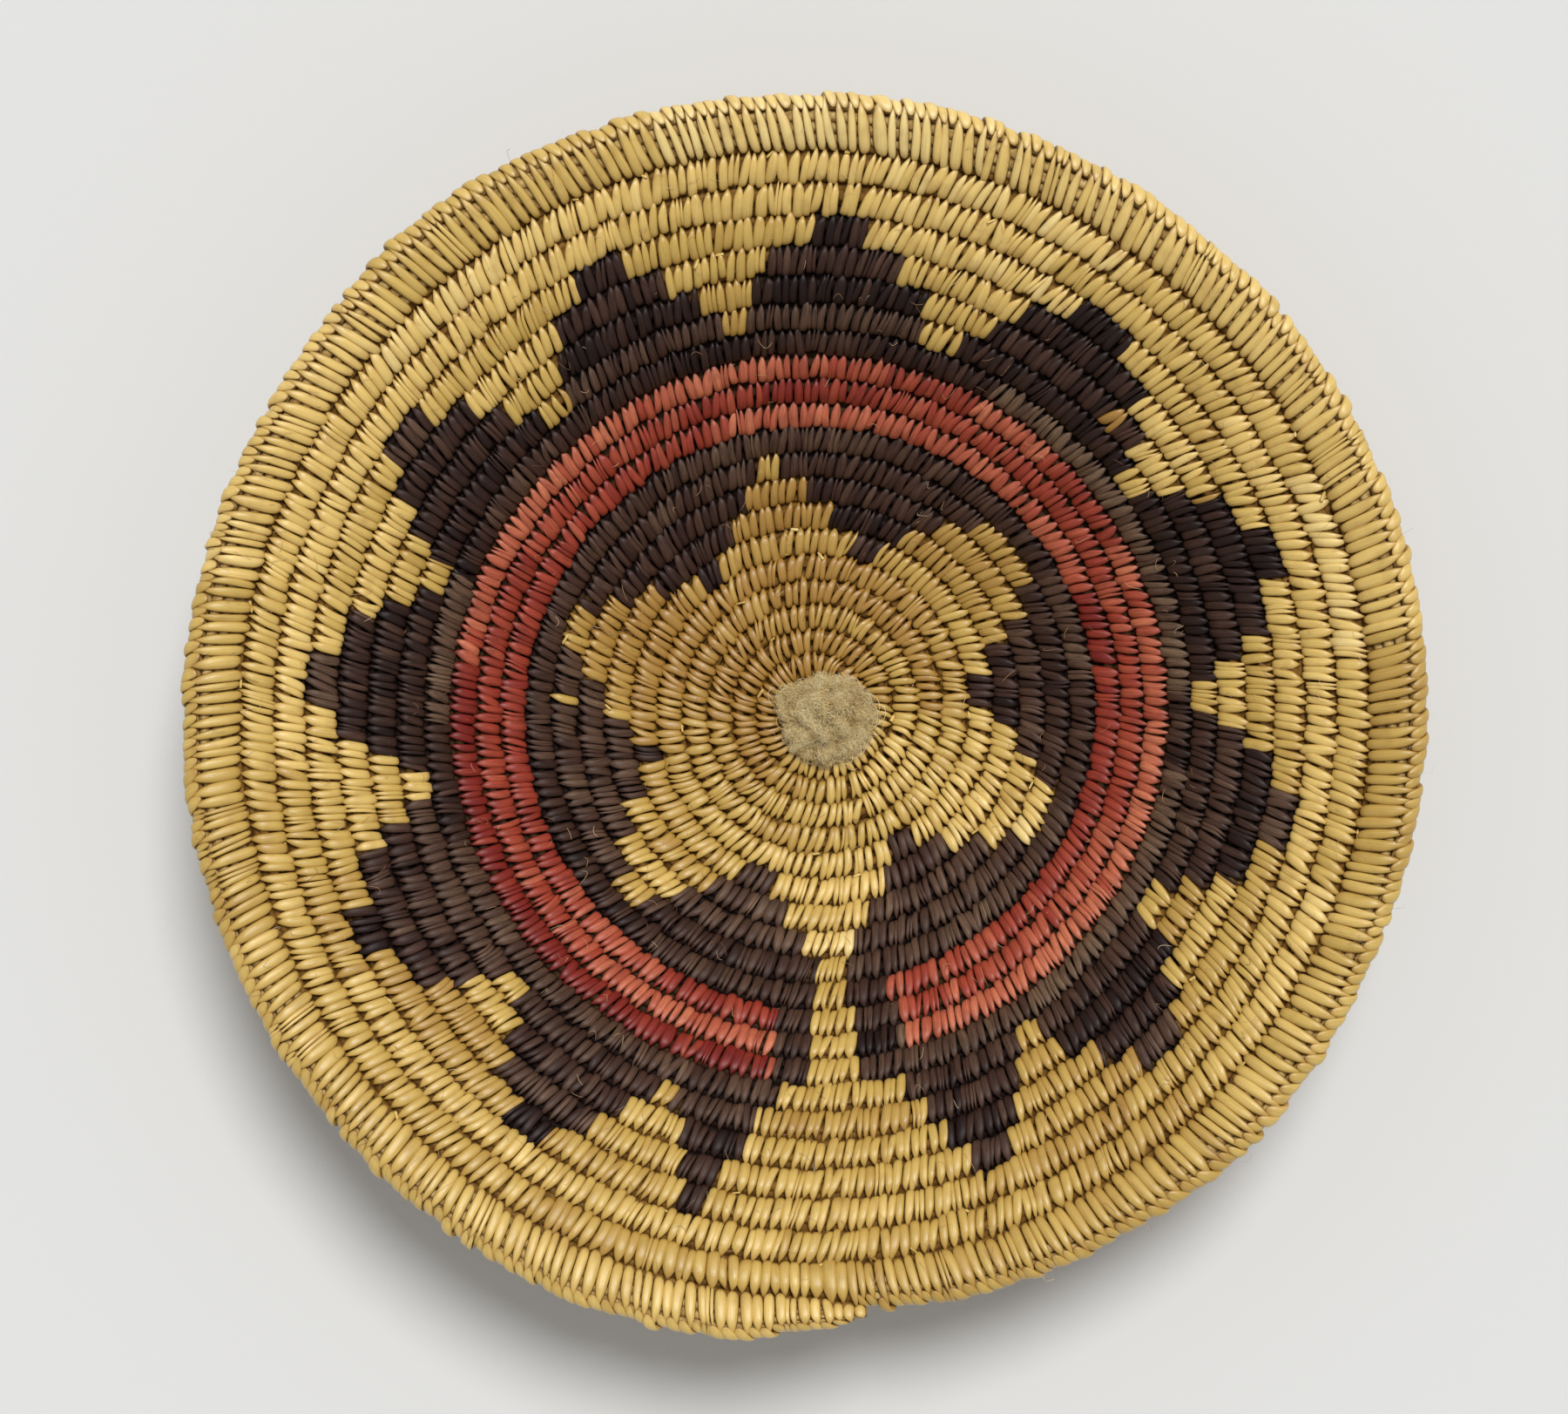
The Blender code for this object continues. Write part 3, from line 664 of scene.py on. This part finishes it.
def all_stitches():
    """Every stitch of the basket with its place, lean, room, ends and tone."""
    random = np.random.default_rng(SEED + 1)
    places, leans = sew()
    count = len(places)
    edges = (places[1:] + places[:-1]) / 2
    half = along(PITCHES, places) / 2 / length_at(places)
    fill = along(FILLS, places) * random.normal(1.0, FILL_SPREAD, count)
    before = np.concatenate((half[:1], places[1:] - edges)) * fill
    after = np.concatenate((edges - places[:-1], half[-1:])) * fill
    stitches = {
        "place": places,
        "lean": leans,
        "before": before,
        "after": after,
        **{key: random.normal(*spread, count) for key, spread in SPREADS.items()},
        "tone": splint_tones(places, SEED + 2),
        "number": np.arange(count, dtype=float),
    }
    return split_some(stitches, random)


def strip_points(stitches, stations, lift, edge_lean, inset):
    """Corners of every splint strip, with the tone, painted shade depth and grain that its material reads."""
    angles, share, dive = np.array(stations).T[:, None, :, None]
    swing = np.radians(angles)
    cosine, sine = np.cos(swing), np.sin(swing)
    across, rise = np.array(SECTION).T
    column = {key: value[:, None, None] for key, value in stitches.items()}
    round_length = length_at(column["place"])
    full = (column["before"] + column["after"]) * round_length
    crown = full * (CROWN_SHARE[0] + CROWN_SHARE[1] * share)
    roll = column["roll"]
    if edge_lean is None:
        sideways = -column["lean"] / 2 * cosine + column["bow"] * sine ** 2
    else:
        sideways = -edge_lean * full * swing / swing.max() / 2
        crown = crown * EDGE_CROWN
        roll = roll + EDGE_ROLL
    reach = np.where(across < 0, column["before"], column["after"])
    turns = column["place"] + sideways / round_length + reach * across * share
    width, thick = coil_at(turns)[3:]
    outer_reach = width / 2 - crown * CROWN_INSIDE + column["outer"] - inset
    inner_reach = width / 2 + OVERLAP + column["inner"] if edge_lean is None else outer_reach
    outside = cosine > 0
    flat = np.where(outside, outer_reach, inner_reach)
    tall = thick / 2 - crown + column["lift"]
    fullness = np.where(outside, OUTER_FULLNESS, INNER_FULLNESS)
    normal_out, normal_up = cosine / flat, sine / tall
    height = crown * (rise + roll * across) + lift - SPLINT_UNDER * (rise <= -1.0)
    height = height / np.hypot(normal_out, normal_up)
    outward = flat * cosine + height * normal_out
    upward = tall * np.sign(sine) * np.abs(sine) ** fullness + height * normal_up
    points = place_points(turns, outward, upward)
    shape = points.shape[:3]
    grain = zip((swing, across * full * share, column["number"]), GRAIN_STEPS)
    # The depth is painted shade: darker where the stitch dives and toward its edges
    return points, {
        "tone": np.broadcast_to(column["tone"], shape).ravel(),
        "depth": np.broadcast_to(dive + along(EDGE_SHADE, np.abs(across)), shape).ravel(),
        "grain": np.stack([np.broadcast_to(value * step, shape).ravel() for value, step in grain], axis=-1),
    }


def strip_faces(count, stations, corners, closed):
    """Faces of strips that are closed rings, or that have an end at each side."""
    runs = stations if closed else stations - 1
    run, corner = np.meshgrid(np.arange(runs), np.arange(corners), indexing="ij")
    after = (run + 1) % stations
    beside = (corner + 1) % corners
    ring = ((run, corner), (after, corner), (after, beside), (run, beside))
    quads = np.stack([row * corners + place for row, place in ring], axis=-1).reshape(-1, 4)
    starts = np.arange(count) * stations * corners
    faces = (starts[:, None, None] + quads).reshape(-1, 4).tolist()
    if not closed:
        first = np.arange(corners)
        last = first[::-1] + (stations - 1) * corners
        for start in starts:
            faces += [(first + start).tolist(), (last + start).tolist()]
    return faces


def put(name, data):
    """Puts a mesh, lamp or camera in the scene."""
    thing = bpy.data.objects.new(name, data)
    bpy.context.scene.collection.objects.link(thing)
    return thing


def mesh_piece(name, material, points, faces, attributes):
    """Makes one smooth mesh piece with its attributes, riding on the basket."""
    mesh = bpy.data.meshes.new(name)
    mesh.from_pydata(points.reshape(-1, 3).tolist(), [], faces)
    for key, values in attributes.items():
        kind, field = ("FLOAT_VECTOR", "vector") if key == "grain" else ("FLOAT", "value")
        layer = mesh.attributes.new(key, kind, "POINT")
        layer.data.foreach_set(field, np.ascontiguousarray(values, dtype=np.float32).ravel())
    mesh.shade_smooth()
    mesh.materials.append(material)
    piece = put(name, mesh)
    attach(piece, "root")
    return piece


def strips(batches):
    """Joins batches of (stitches, stations, closed, lift, lean, inset) into points, faces and attributes."""
    points, faces, layers, total = [], [], [], 0
    for stitches, stations, closed, *lay in batches:
        own, attributes = strip_points(stitches, stations, *lay)
        faces += [[corner + total for corner in face] for face in strip_faces(*own.shape[:3], closed)]
        points.append(own.reshape(-1, 3))
        layers.append(attributes)
        total += len(points[-1])
    attributes = {key: np.concatenate([layer[key] for layer in layers]) for key in layers[0]}
    return np.concatenate(points), faces, attributes


def new_material(name):
    """An empty node material, its node tree and its shader."""
    material = bpy.data.materials.new(name)
    material.use_nodes = True
    return material, material.node_tree, material.node_tree.nodes["Principled BSDF"]


def add_node(tree, kind, **settings):
    """Adds a node and sets its properties, and its inputs where the setting names one."""
    node = tree.nodes.new(kind)
    for key, value in settings.items():
        if key in node.inputs:
            node.inputs[key].default_value = value
        else:
            setattr(node, key, value)
    return node


def read(tree, name, output="Fac"):
    """Reads an attribute of the mesh."""
    return add_node(tree, "ShaderNodeAttribute", attribute_name=name).outputs[output]


def add_noise(tree, place, **settings):
    """Adds a noise that is read at a place."""
    noise = add_node(tree, "ShaderNodeTexNoise", **settings)
    tree.links.new(place, noise.inputs["Vector"])
    return noise.outputs["Fac"]


def add_ramp(tree, value, stops):
    """Adds a colour ramp that reads a value, with stops of (place, colour)."""
    ramp = tree.nodes.new("ShaderNodeValToRGB")
    elements = ramp.color_ramp.elements
    while len(elements) < len(stops):
        elements.new(0.5)
    for element, (place, colour) in zip(elements, stops):
        element.position = place
        element.color = (*colour, 1.0)
    tree.links.new(value, ramp.inputs["Fac"])
    return ramp.outputs["Color"]


def add_range(tree, value, old, new):
    """Brings a value from one range to another, each given as (least, most)."""
    node = tree.nodes.new("ShaderNodeMapRange")
    for key, level in zip(("From Min", "From Max", "To Min", "To Max"), (*old, *new)):
        node.inputs[key].default_value = level
    tree.links.new(value, node.inputs["Value"])
    return node.outputs["Result"]


def add_mix(tree, factor, first, second):
    """Mixes two colours, each given as a socket or as a plain colour."""
    mix = add_node(tree, "ShaderNodeMix", data_type="RGBA")
    tree.links.new(factor, mix.inputs["Factor"])
    for key, colour in (("A", first), ("B", second)):
        if isinstance(colour, tuple):
            mix.inputs[key].default_value = (*colour, 1.0)
        else:
            tree.links.new(colour, mix.inputs[key])
    return mix.outputs["Result"]


def add_bump(tree, shader, height, strength, distance):
    """Adds a bump to a shader's surface."""
    bump = add_node(tree, "ShaderNodeBump", Strength=strength, Distance=distance)
    tree.links.new(height, bump.inputs["Height"])
    tree.links.new(bump.outputs["Normal"], shader.inputs["Normal"])


def splint_material(name, tones, shade, roughness, gloss, grain_depth):
    """A split stem: its tone by splint, grain along it, and painted shade where it dives between its
    neighbours.
    """
    material, tree, shader = new_material(name)
    link = tree.links.new
    stretch = add_node(tree, "ShaderNodeVectorMath", operation="MULTIPLY")
    stretch.inputs[1].default_value = GRAIN_STRETCH
    link(read(tree, "grain", "Vector"), stretch.inputs[0])
    streaks = add_noise(tree, stretch.outputs["Vector"], Scale=1.0, Detail=4.0, Roughness=0.65)
    grained = add_node(tree, "ShaderNodeVectorMath", operation="SCALE")
    link(add_ramp(tree, read(tree, "tone"), tones), grained.inputs[0])
    link(add_range(tree, streaks, STREAKS, (1.0 - grain_depth, 1.0 + grain_depth)), grained.inputs["Scale"])

    place = add_node(tree, "ShaderNodeTexCoord").outputs["Object"]
    patches = add_noise(tree, place, Scale=160.0, Detail=2.0)
    # Painted shade from the depth, plus patches of soil: how far the colour mixes toward the shade colour
    shade_and_soil = add_node(tree, "ShaderNodeMath", operation="MULTIPLY_ADD")
    shade_and_soil.inputs[1].default_value = DEPTH_SHADE
    link(read(tree, "depth"), shade_and_soil.inputs[0])
    link(add_range(tree, patches, SOIL_PATCHES, (0.0, SOIL_SHADE)), shade_and_soil.inputs[2])
    link(add_mix(tree, shade_and_soil.outputs["Value"], grained.outputs["Vector"], shade), shader.inputs["Base Color"])

    rough = [roughness + change for change in ROUGHNESS_CHANGES]
    link(add_range(tree, streaks, STREAKS, rough), shader.inputs["Roughness"])
    shader.inputs["Specular IOR Level"].default_value = gloss
    add_bump(tree, shader, streaks, strength=0.5, distance=0.00018)
    return material


def rod_material(name, stops, shade_under_dye):
    """A peeled rod or a seam splint: streaks of three tones under natural sewing, painted shade under dyed
    sewing.
    """
    material, tree, shader = new_material(name)
    noise = add_noise(tree, add_node(tree, "ShaderNodeTexCoord").outputs["Object"], Scale=460.0, Detail=4.0)
    colour = add_mix(tree, read(tree, "tone"), shade_under_dye, add_ramp(tree, noise, stops))
    tree.links.new(colour, shader.inputs["Base Color"])
    shader.inputs["Roughness"].default_value = 0.75
    shader.inputs["Specular IOR Level"].default_value = 0.2
    add_bump(tree, shader, noise, strength=0.4, distance=0.0002)
    return material


def fibre_material(name, tones):
    """Thin fibre, with its tone by strand."""
    material, tree, shader = new_material(name)
    tree.links.new(add_ramp(tree, read(tree, "tone"), tones), shader.inputs["Base Color"])
    shader.inputs["Roughness"].default_value = 0.75
    shader.inputs["Sheen Weight"].default_value = 0.15
    return material


MATERIALS = {look: splint_material(f"{look}_looks", *row) for look, row in LOOKS.items()}
# Wood seen only deep between the stitches, in the seams and the coil's rods: its dark browns are painted
# shade
SEAM_WOOD = rod_material(
    "shaded_wood",
    ((0.35, (0.11, 0.047, 0.007)), (0.52, (0.20, 0.095, 0.015)), (0.70, (0.30, 0.155, 0.032))),
    SHADE_UNDER_DYED_SEWING,
)
PEELED_ROD = rod_material(
    "peeled_rod",
    ((0.35, (0.30, 0.17, 0.050)), (0.52, (0.52, 0.34, 0.115)), (0.70, (0.70, 0.50, 0.20))),
    SHADE_UNDER_DYED_SEWING,
)
# How strips are laid: whether they are closed, their lift, their lean or None for the stitch's own, and inset
BODY_LAY = (True, 0.0, None, 0.0)
RIM_LAY = (True, 0.0, None, RIM_INSET)
EDGE_LAY = (False, EDGE_LIFT, EDGE_LEAN, EDGE_INSET)


def make_stitches():
    """Makes the sewing of each CAD wrapping node as a piece of its own."""
    stitches = all_stitches()
    owner = field_of(stitches["place"])
    nodes = {}
    for number, (_, node, look) in enumerate(FIELDS):
        nodes.setdefault(node, (look, []))[1].append(number)
    body = OVER_STATIONS + UNDER_STATIONS
    bits = np.zeros(len(owner), dtype=bool)
    for round_number, middle, reach in NATURAL_BITS:
        bits |= np.abs(stitches["place"] - turn_of(round_number, middle)) < reach / 360.0
    batches = [(chosen(stitches, bits), body, *BODY_LAY)]
    piece = mesh_piece("natural_stitches_in_steps", MATERIALS[NATURAL], *strips(batches))
    for node, (look, numbers) in nodes.items():
        own = chosen(stitches, np.isin(owner, numbers) & ~bits)
        if node in ("rim_wrapping", "rim_end_tip"):
            begun = own["place"] > EDGE_START
            edge = chosen(own, begun & (own["place"] < EDGE_END))
            edge["place"] = edge["place"] + EDGE_SHIFT * (edge["before"] + edge["after"])
            batches = [(chosen(own, begun), RIM_STATIONS, *RIM_LAY), (edge, EDGE_STATIONS, *EDGE_LAY)]
            if not begun.all():
                batches.append((chosen(own, ~begun), body, *BODY_LAY))
        else:
            batches = [(own, body, *BODY_LAY)]
        piece = mesh_piece(f"{node}_stitches", MATERIALS[look], *strips(batches))
        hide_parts(node)


def unit(vectors):
    """The vectors, each brought to a length of one."""
    return vectors / (np.linalg.norm(vectors, axis=-1, keepdims=True) + STILL)


def tubes(paths, radii, tones, sides=3, taper=(TUBE_POINT, TUBE_POINT)):
    """Points, faces and tone of tubes of as many steps. Radii and tones are by tube, or also by step."""
    count, steps = paths.shape[:2]
    radii = np.broadcast_to(radii.reshape(count, -1), (count, steps)).copy()
    tones = np.broadcast_to(tones.reshape(count, -1), (count, steps))
    radii[:, 0] *= taper[0]
    radii[:, -1] *= taper[1]
    ahead = unit(np.gradient(paths, axis=1))
    side = unit(np.cross(ahead, (0.0, 0.0, 1.0)) + UPRIGHT_SIDE)
    up = np.cross(side, ahead)
    angles = 2 * math.pi * np.arange(sides) / sides
    ring = np.cos(angles)[:, None] * side[:, :, None] + np.sin(angles)[:, None] * up[:, :, None]
    points = (paths[:, :, None] + radii[:, :, None, None] * ring).reshape(-1, 3)
    return points, strip_faces(count, steps, sides, False), {"tone": np.repeat(tones.ravel(), sides)}


def make_rods():
    """Makes the rods that the sewing binds: three in the coil, and more in the wide rim."""
    turns = even_turns(START_TURN + RODS_LATE, COIL_END - RODS_SHORT, ROD_STEP)
    coil = turns[turns < RIM_TURN + ROD_HANDOVER]
    rim = turns[turns > RIM_TURN + ROD_HANDOVER / 2]
    # The coil's rods show only deep between stitches, so they take the shaded wood; the rim's rods are peeled
    # wood
    for name, rods, share, cover, offset, places, material in (
        ("foundation_rods", COIL_RODS, COIL_ROD_SHARE, ROD_COVER, 0.0, coil, SEAM_WOOD),
        ("rim_rods", RIM_RODS, RIM_ROD_SHARE, RIM_ROD_COVER, RIM_ROD_SHIFT, rim, PEELED_ROD),
    ):
        half_width, half_thick = (size / 2 - cover for size in coil_at(places)[3:])
        radii = np.minimum(half_width * share, half_thick)
        paths, widths = [], []
        for number, (out, side) in enumerate(rods):
            shift = ROD_WANDER * wobble(places, ROD_SEED + number, ROD_WANDER_WAVES)
            swell = 1.0 + ROD_SWELL * wobble(places, SWELL_SEED + number, ROD_SWELL_WAVES)
            paths.append(place_points(places, out * half_width + offset + shift, side * (half_thick - radii)))
            widths.append(radii * swell)
        tones = np.tile(by_look(places, SEAM_TONES), (len(rods), 1))
        piece = mesh_piece(name, material, *tubes(np.array(paths), np.array(widths), tones, ROD_SIDES, BLUNT))
        if name == "foundation_rods":
            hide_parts("rod_foundation")


def make_seam_runs():
    """Makes the inner runs of the splints, in the seam where the stitches pierce the round before."""
    turns = even_turns(START_TURN + 1.0, COIL_END - RODS_SHORT, SEAM_RUN_STEP)
    width = coil_at(turns)[3]
    centres = place_points(turns, -(width + ROUND_GAP) / 2, np.full(len(turns), SEAM_RUN_DROP))
    radii = SEAM_RUN_RADIUS * np.where(turns > RIM_TURN, SEAM_RUN_RIM_SHARE, 1.0)
    tones = np.minimum(by_look(turns, SEAM_TONES), by_look(turns - 1.0, SEAM_TONES))
    piece = mesh_piece("seam_runs", SEAM_WOOD, *tubes(centres[None], radii, tones, ROD_SIDES, BLUNT))


def tuft_lump(heading):
    """How far the tuft's outline goes out in a direction, as a share of its radius."""
    lump = 1.0 + sum(size * np.sin(waves * heading + phase) for waves, size, phase in TUFT_LUMPS)
    for middle, reach, extra in TUFT_WINGS:
        away = (np.degrees(heading) - middle + 180.0) % 360.0 - 180.0
        lump = lump + extra * np.exp(-((away / reach) ** 2))
    return lump


def tuft_bumps(x, y):
    """Bumps over the tuft's top from -1 to 1, where two swaying waves cross."""
    (along_x, sway_x, slow_x, phase_x), (along_y, sway_y, slow_y, phase_y) = TUFT_BUMP_WAVES
    wave = np.sin(along_x * x + sway_x * np.sin(slow_x * y) + phase_x)
    return wave * np.sin(along_y * y + sway_y * np.sin(slow_y * x) + phase_y)


def tuft_paths(random, count, steps, depths, lengths, curls, climbs):
    """Fibres that wander round a flat lumpy ball, each range given as (least, most)."""
    place = random.normal(0.0, 1.0, (count, 3))
    place[:, 2] = np.abs(place[:, 2]) * TUFT_FLATNESS
    place = unit(place)
    ahead = unit(np.cross(place, random.normal(0.0, 1.0, (count, 3))))
    bend = random.uniform(*curls, (count, 1)) * random.choice((-1.0, 1.0), (count, 1))
    change = random.normal(0.0, CURL_CHANGE, (count, 1)) * bend
    limits = (lengths, depths, climbs, (0.0, 2 * math.pi))
    length, depth, climb, wave = (random.uniform(*limit, (count, 1)) for limit in limits)
    rows = []
    for step in range(steps):
        share = step / (steps - 1)
        ahead = ahead + np.cross(place, ahead) * (bend + change * share) / steps
        place = unit(place + ahead * length / steps)
        ahead = unit(ahead - place * np.sum(place * ahead, axis=1, keepdims=True))
        heading = np.arctan2(place[:, 1:2], place[:, 0:1])
        flat = np.hypot(place[:, 0:1], place[:, 1:2])
        bumps = TUFT_BUMP * tuft_bumps(place[:, 0:1], place[:, 1:2]) * (1.0 - TUFT_BUMP_LOSS * flat ** 2)
        far = depth + bumps + climb * math.sin(math.pi * share) + RIPPLE * np.sin(wave + RIPPLE_WAVES * share)
        out = TUFT_RADIUS * far * tuft_lump(heading) * flat ** TUFT_OUTLINE_POWER
        height = TUFT_SEAT + TUFT_HEIGHT * np.abs(place[:, 2:3]) * (1.0 + TUFT_TOP_GAIN * (far - 1.0))
        x = TUFT_MIDDLE[0] + out * np.cos(heading)
        y = TUFT_MIDDLE[1] + out * np.sin(heading)
        rows.append(np.concatenate((x, y, height), axis=1))
    paths = np.stack(rows, axis=1)
    # Painted light and shade: outer fibres and bump tops lighter, deep fibres and hollows between bumps
    # darker
    tones = random.normal(TUFT_TONE, TUFT_TONE_SPREAD, count) + TUFT_BUMP_SHADING * bumps[:, 0] / TUFT_BUMP
    return paths, np.clip(tones + TUFT_DEPTH_SHADING * (depth[:, 0] - TUFT_MIDDLE_DEPTH), 0.0, 1.0)


def make_tuft():
    """Makes the tuft: a core of wandering fibres, curled locks and a fuzz over it, and stray loops."""
    random = np.random.default_rng(SEED + 9)
    layers = [tuft_paths(random, *row[1:-1]) for row in TUFT_LAYERS]
    stops = ((0.0, (0.20, 0.095, 0.016)), (0.5, (0.88, 0.65, 0.26)), (1.0, (0.99, 0.89, 0.55)))
    material = fibre_material("curled_fibre", stops)
    for (name, *_, radii), (paths, tones) in zip(TUFT_LAYERS, layers):
        tube_radii = random.uniform(*radii, len(paths))
        piece = mesh_piece(f"centre_tuft_{name}", material, *tubes(paths, tube_radii, tones))
        if name == "fibres":
            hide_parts("centre_tuft")
    make_loops(random, material)


def make_loops(random, material):
    """Makes the long thin loops that stray from the tuft over the rounds beside it."""
    size = (LOOSE_LOOPS, 1)
    heading = np.radians(random.choice(LOOP_PLACES, size) + random.normal(0.0, LOOP_SPREAD, size))
    share = np.linspace(0.0, 1.0, LOOP_STEPS)[None, :]
    turn = random.uniform(*LOOP_TURNS, size) * math.pi * random.choice((-1.0, 1.0), size)
    bend = random.uniform(*LOOP_SIZES, size)
    spin = heading + turn * (share - 0.5)
    start = TUFT_RADIUS * random.uniform(*LOOP_STARTS, size) * tuft_lump(heading)
    stray = random.normal(0.0, LOOP_STRAY, (2, *size)) * share
    x = TUFT_MIDDLE[0] + start * np.cos(heading) + bend * np.cos(spin) + stray[0]
    y = TUFT_MIDDLE[1] + start * np.sin(heading) + bend * np.sin(spin) + stray[1]
    height = TUFT_SEAT + random.uniform(*LOOP_RISES, size) * np.sin(math.pi * share) + LOOP_CLEARANCE
    paths = np.stack((x, y, np.broadcast_to(height, x.shape)), axis=-1)
    tones = random.uniform(*LOOP_TONES, LOOSE_LOOPS)
    radii = random.uniform(*LOOP_RADII, LOOSE_LOOPS)
    piece = mesh_piece("centre_tuft_loops", material, *tubes(paths, radii, tones))


def surface_points(turns, run, across, above):
    """Points a run on from places on the coil, across it from -1 at its inner side to 1, and above it."""
    turns = turns + run / length_at(turns)
    width, thick = coil_at(turns)[3:]
    rise = thick / 2 * (1.0 - SEWING_FALL * np.abs(across) ** SEWING_FALL_POWER)
    return place_points(turns, across * width / 2, rise + above)


def make_hairs():
    """Makes loose hairs of worn splints, which lie along and across the rounds."""
    random = np.random.default_rng(SEED + 20)
    size = (HAIRS, 1)
    turns = scattered_turns(random, HAIR_TURNS, HAIRS * 2)
    kept = random.uniform(0.0, 1.0, HAIRS * 2) < by_look(turns, HAIR_SHARES)
    turns = turns[kept][:HAIRS, None]
    share = np.linspace(0.0, 1.0, HAIR_STEPS)[None, :]
    reach = random.uniform(*HAIR_LENGTHS, size) * random.choice((-1.0, 1.0), size)
    bow = random.normal(0.0, HAIR_BOW, size)
    start = random.uniform(*HAIR_STARTS, size)
    end = start + random.normal(0.0, HAIR_SLANT, size)
    across = start + (end - start) * share + bow * np.sin(math.pi * share)
    above = HAIR_LIFT + random.uniform(*HAIR_RISES, size) * np.sin(math.pi * share)
    paths = surface_points(turns, reach * share, np.clip(across, -HAIR_EDGE, HAIR_EDGE), above)
    tones = random.uniform(0.0, 1.0, HAIRS)
    stops = ((0.0, (0.30, 0.13, 0.05)), (0.5, (0.66, 0.40, 0.18)), (1.0, (0.90, 0.70, 0.40)))
    material = fibre_material("frayed_splint", stops)
    piece = mesh_piece("loose_hairs", material, *tubes(paths, random.uniform(*HAIR_RADII, HAIRS), tones))


def make_splint_ends():
    """Makes the ends of splints that stick out between two rounds of the natural sewing."""
    random = np.random.default_rng(SEED + 30)
    turns = scattered_turns(random, END_TURNS, SPLINT_ENDS * 3)
    turns = turns[by_look(turns, SEAM_TONES) == 1.0][:SPLINT_ENDS, None]
    size = turns.shape
    share = np.linspace(0.0, 1.0, END_STEPS)[None, :]
    reach = random.uniform(*END_LENGTHS, size) * random.choice((-1.0, 1.0), size, p=END_WAYS)
    across = random.uniform(*END_STARTS, size) + random.normal(0.0, END_SLANT, size) * share
    above = END_LIFT + random.uniform(*END_RISES, size) * share
    paths = surface_points(turns, reach * share, across, above)
    tones = np.clip(random.normal(*END_TONE, len(turns)), 0.0, 1.0)
    radii = random.uniform(*END_RADII, len(turns))
    points, faces, tone = tubes(paths, radii, tones, END_SIDES, (TUBE_POINT, 1.0))
    attributes = {**tone, "depth": np.zeros(len(points)), "grain": points * END_GRAIN}
    piece = mesh_piece("splint_ends", MATERIALS[NATURAL], points, faces, attributes)


def make_floor():
    """Makes the plain pale floor."""
    mesh = bpy.data.meshes.new("floor")
    far = FLOOR_REACH
    mesh.from_pydata([(-far, -far, 0), (far, -far, 0), (far, far, 0), (-far, far, 0)], [], [(0, 1, 2, 3)])
    floor = put("floor", mesh)
    material, _, shader = new_material("floor_paint")
    shader.inputs["Base Color"].default_value = (0.72, 0.72, 0.71, 1.0)
    shader.inputs["Roughness"].default_value = 0.9
    mesh.materials.append(material)


def make_light():
    """Lights the bowl softly from the far side, with a fill all round."""
    world = bpy.data.worlds.new("studio")
    world.use_nodes = True
    fill = world.node_tree.nodes["Background"]
    fill.inputs["Color"].default_value = (1.0, 1.0, 1.0, 1.0)
    fill.inputs["Strength"].default_value = FILL_STRENGTH
    bpy.context.scene.world = world
    lamp = bpy.data.lights.new("key", "SUN")
    lamp.energy = SUN_STRENGTH
    lamp.angle = math.radians(SUN_ANGLE)
    key = put("key", lamp)
    key.location = SUN_PLACE
    aim_at(key, (0.0, 0.0, 0.0))


def aim_at(thing, target):
    """Turns a lamp or camera to look at a point, with +Y toward the top of its picture."""
    back = (Vector(thing.location) - Vector(target)).normalized()
    right = Vector((0.0, 1.0, 0.0)).cross(back).normalized()
    up = back.cross(right)
    thing.rotation_euler = Matrix((right, up, back)).transposed().to_euler()


def make_camera():
    """Sets the camera at the photograph's viewing angle."""
    data = bpy.data.cameras.new("camera")
    data.sensor_width = SENSOR
    data.lens = LENS
    data.clip_start = 0.01
    camera = put("camera", data)
    away = np.array(VIEW_DIRECTION) / np.linalg.norm(VIEW_DIRECTION)
    camera.location = np.array(VIEW_TARGET) + VIEW_DISTANCE * away
    aim_at(camera, VIEW_TARGET)
    bpy.context.scene.camera = camera


make_camera()
make_stitches()
make_rods()
make_seam_runs()
make_tuft()
make_hairs()
make_splint_ends()
make_floor()
make_light()
bpy.context.scene.view_settings.view_transform = "Standard"
